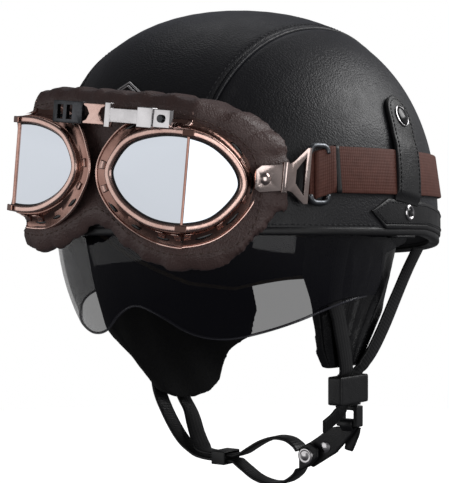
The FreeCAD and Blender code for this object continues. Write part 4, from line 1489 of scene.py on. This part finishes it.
def ring_fold():
    """Leather strip folded through the D ring, from which the two tabs hang."""
    route = [(1.1, -117.5), (-0.6, -116.2), (-1.9, -114.4), (-2.0, -112.6), (-1.0, -111.4), (2.7, -111.1),
             (6.4, -111.4), (7.4, -112.6), (7.3, -114.4), (6.0, -116.2), (4.4, -117.5)]
    line = curve([(74.0, y, z) for y, z in route], 5)
    frames = [(p, Vector((1, 0, 0)), t.cross(Vector((1, 0, 0)))) for p, t in zip(line, tangents(line))]
    return sweep("ring_fold", frames, rounded(8.0, 1.3, 4), "black_leather_trim", False)


fit(ring_fold(), "flap_left", "black_leather_trim")
SNAP_X, SNAP_Z = 47.5, -133.8
SNAP_BUTTON = [(0, 0), (4.9, 0), (5.0, 0.5), (4.5, 1.0), (3.6, 1.15), (3.2, 0.95), (2.6, 1.0), (1.8, 1.45),
               (0, 1.6)]
SNAP_SOCKET = [(0, 0), (3.0, 0), (3.0, 0.3), (2.4, 0.6), (1.8, 0.7), (1.7, 1.1), (0, 1.2)]
SNAP_RIVET = [(0, 0), (3.4, 0), (3.3, 0.6), (2.4, 1.1), (1.2, 1.35), (0, 1.4)]
for name, at, profile, body, node in (
        ("snap_button", (SNAP_X, -4.2, SNAP_Z), SNAP_BUTTON, "flap_right", ["snap_button_front"]),
        ("snap_socket", (SNAP_X, 0, SNAP_Z), SNAP_SOCKET, "flap_left", ["snap_studs"]),
        ("snap_rivet", (59.0, 0, -128), SNAP_RIVET, "flap_left", [])):
    fit(revolve(name, at, (0, -1, 0), profile, "silver"), body, "silver", *node)

# ---- stage, light and camera ---------------------------------------------------------
TARGET = Vector((-11.6, -4.5, -5.5)) * MM
VIEW_AZIMUTH, VIEW_RISE, VIEW_DISTANCE = 35.0, 0.2, 0.905


def aimed(obj, at):
    obj.rotation_euler = (at - obj.location).to_track_quat("-Z", "Y").to_euler()


def camera():
    data = bpy.data.cameras.new("camera")
    data.sensor_width = 36.0
    data.lens = 108.45
    data.clip_start = 0.01
    obj = linked("camera", data)
    az, el = math.radians(VIEW_AZIMUTH), math.radians(VIEW_RISE)
    away = Vector((math.sin(az) * math.cos(el), -math.cos(az) * math.cos(el), math.sin(el)))
    obj.location = TARGET + away * VIEW_DISTANCE
    aimed(obj, TARGET)
    bpy.context.scene.camera = obj


def bearing(azimuth):
    """Level direction by azimuth, from the wearer's front round to the wearer's left."""
    a = math.radians(azimuth)
    return Vector((math.sin(a), -math.cos(a), 0))


def softbox(name, place, size, power):
    data = bpy.data.lights.new(name, "AREA")
    data.shape = "RECTANGLE"
    data.size, data.size_y = size
    data.energy = power
    obj = linked(name, data)
    obj.location = place
    aimed(obj, Vector((0, 0, 0)))


def floor():
    """A plain pale floor under the object; it throws no light back up, so the blacks stay black."""
    reach, low, sides = 0.5, -0.165, 96
    turn = 2 * math.pi / sides
    rim = [(reach * math.cos(turn * k), reach * math.sin(turn * k), low) for k in range(sides)]
    mesh = bpy.data.meshes.new("studio_floor")
    mesh.from_pydata(rim, [], [tuple(range(sides))])
    pale = Shader("pale_floor", (0.9, 0.9, 0.9), 0.8)
    pale.bsdf.inputs["Emission Color"].default_value = (1, 1, 1, 1)
    pale.bsdf.inputs["Emission Strength"].default_value = 0.9
    mesh.materials.append(pale.material)
    obj = linked("studio_floor", mesh)
    obj.visible_diffuse = False
    obj.visible_glossy = False
    obj.visible_transmission = False


def world():
    """White behind the object; softer light on it, graded by height."""
    w = bpy.data.worlds.new("studio")
    bpy.context.scene.world = w
    w.use_nodes = True
    tree = w.node_tree
    tree.nodes.clear()
    coords, split, stretch, ramp, grade, white, path, mix, out = (
        tree.nodes.new("ShaderNode" + kind) for kind in (
            "TexCoord", "SeparateXYZ", "MapRange", "ValToRGB", "Background", "Background",
            "LightPath", "MixShader", "OutputWorld"))
    stretch.inputs["From Min"].default_value = -1.0
    stops = ramp.color_ramp.elements
    stops[0].position, stops[0].color = 0.20, (0.10, 0.10, 0.11, 1)
    stops[1].position, stops[1].color = 0.95, (0.16, 0.16, 0.17, 1)
    for at, value in ((0.44, 0.42), (0.55, 0.60), (0.70, 0.18)):
        stops.new(at).color = (value, value, value * 1.02, 1)
    grade.inputs["Strength"].default_value = 0.42
    white.inputs["Color"].default_value = (1, 1, 1, 1)
    white.inputs["Strength"].default_value = 1.0
    for source, sink in ((coords.outputs["Generated"], split.inputs["Vector"]),
                         (split.outputs["Z"], stretch.inputs["Value"]),
                         (stretch.outputs["Result"], ramp.inputs["Fac"]),
                         (ramp.outputs["Color"], grade.inputs["Color"]),
                         (path.outputs["Is Camera Ray"], mix.inputs["Fac"]),
                         (grade.outputs["Background"], mix.inputs[1]),
                         (white.outputs["Background"], mix.inputs[2]),
                         (mix.outputs["Shader"], out.inputs["Surface"])):
        tree.links.new(source, sink)


camera()
floor()
world()
front, right = bearing(VIEW_AZIMUTH), bearing(VIEW_AZIMUTH + 90.0)
for name, place, size, power in (
        ("key", right * 0.85 + UP * 0.6 - front * 0.1, (0.7, 0.5), 5.0),
        ("top", UP * 1.1 - front * 0.5, (0.8, 0.5), 0.9),
        ("left_card", bearing(-36.0) + UP * 0.03, (0.9, 0.7), 1.3),
        ("right_card", bearing(65.0) * 1.1 + UP * 0.03, (0.6, 0.6), 1.6)):
    softbox(name, place, size, power)
bpy.context.scene.view_settings.view_transform = "Standard"
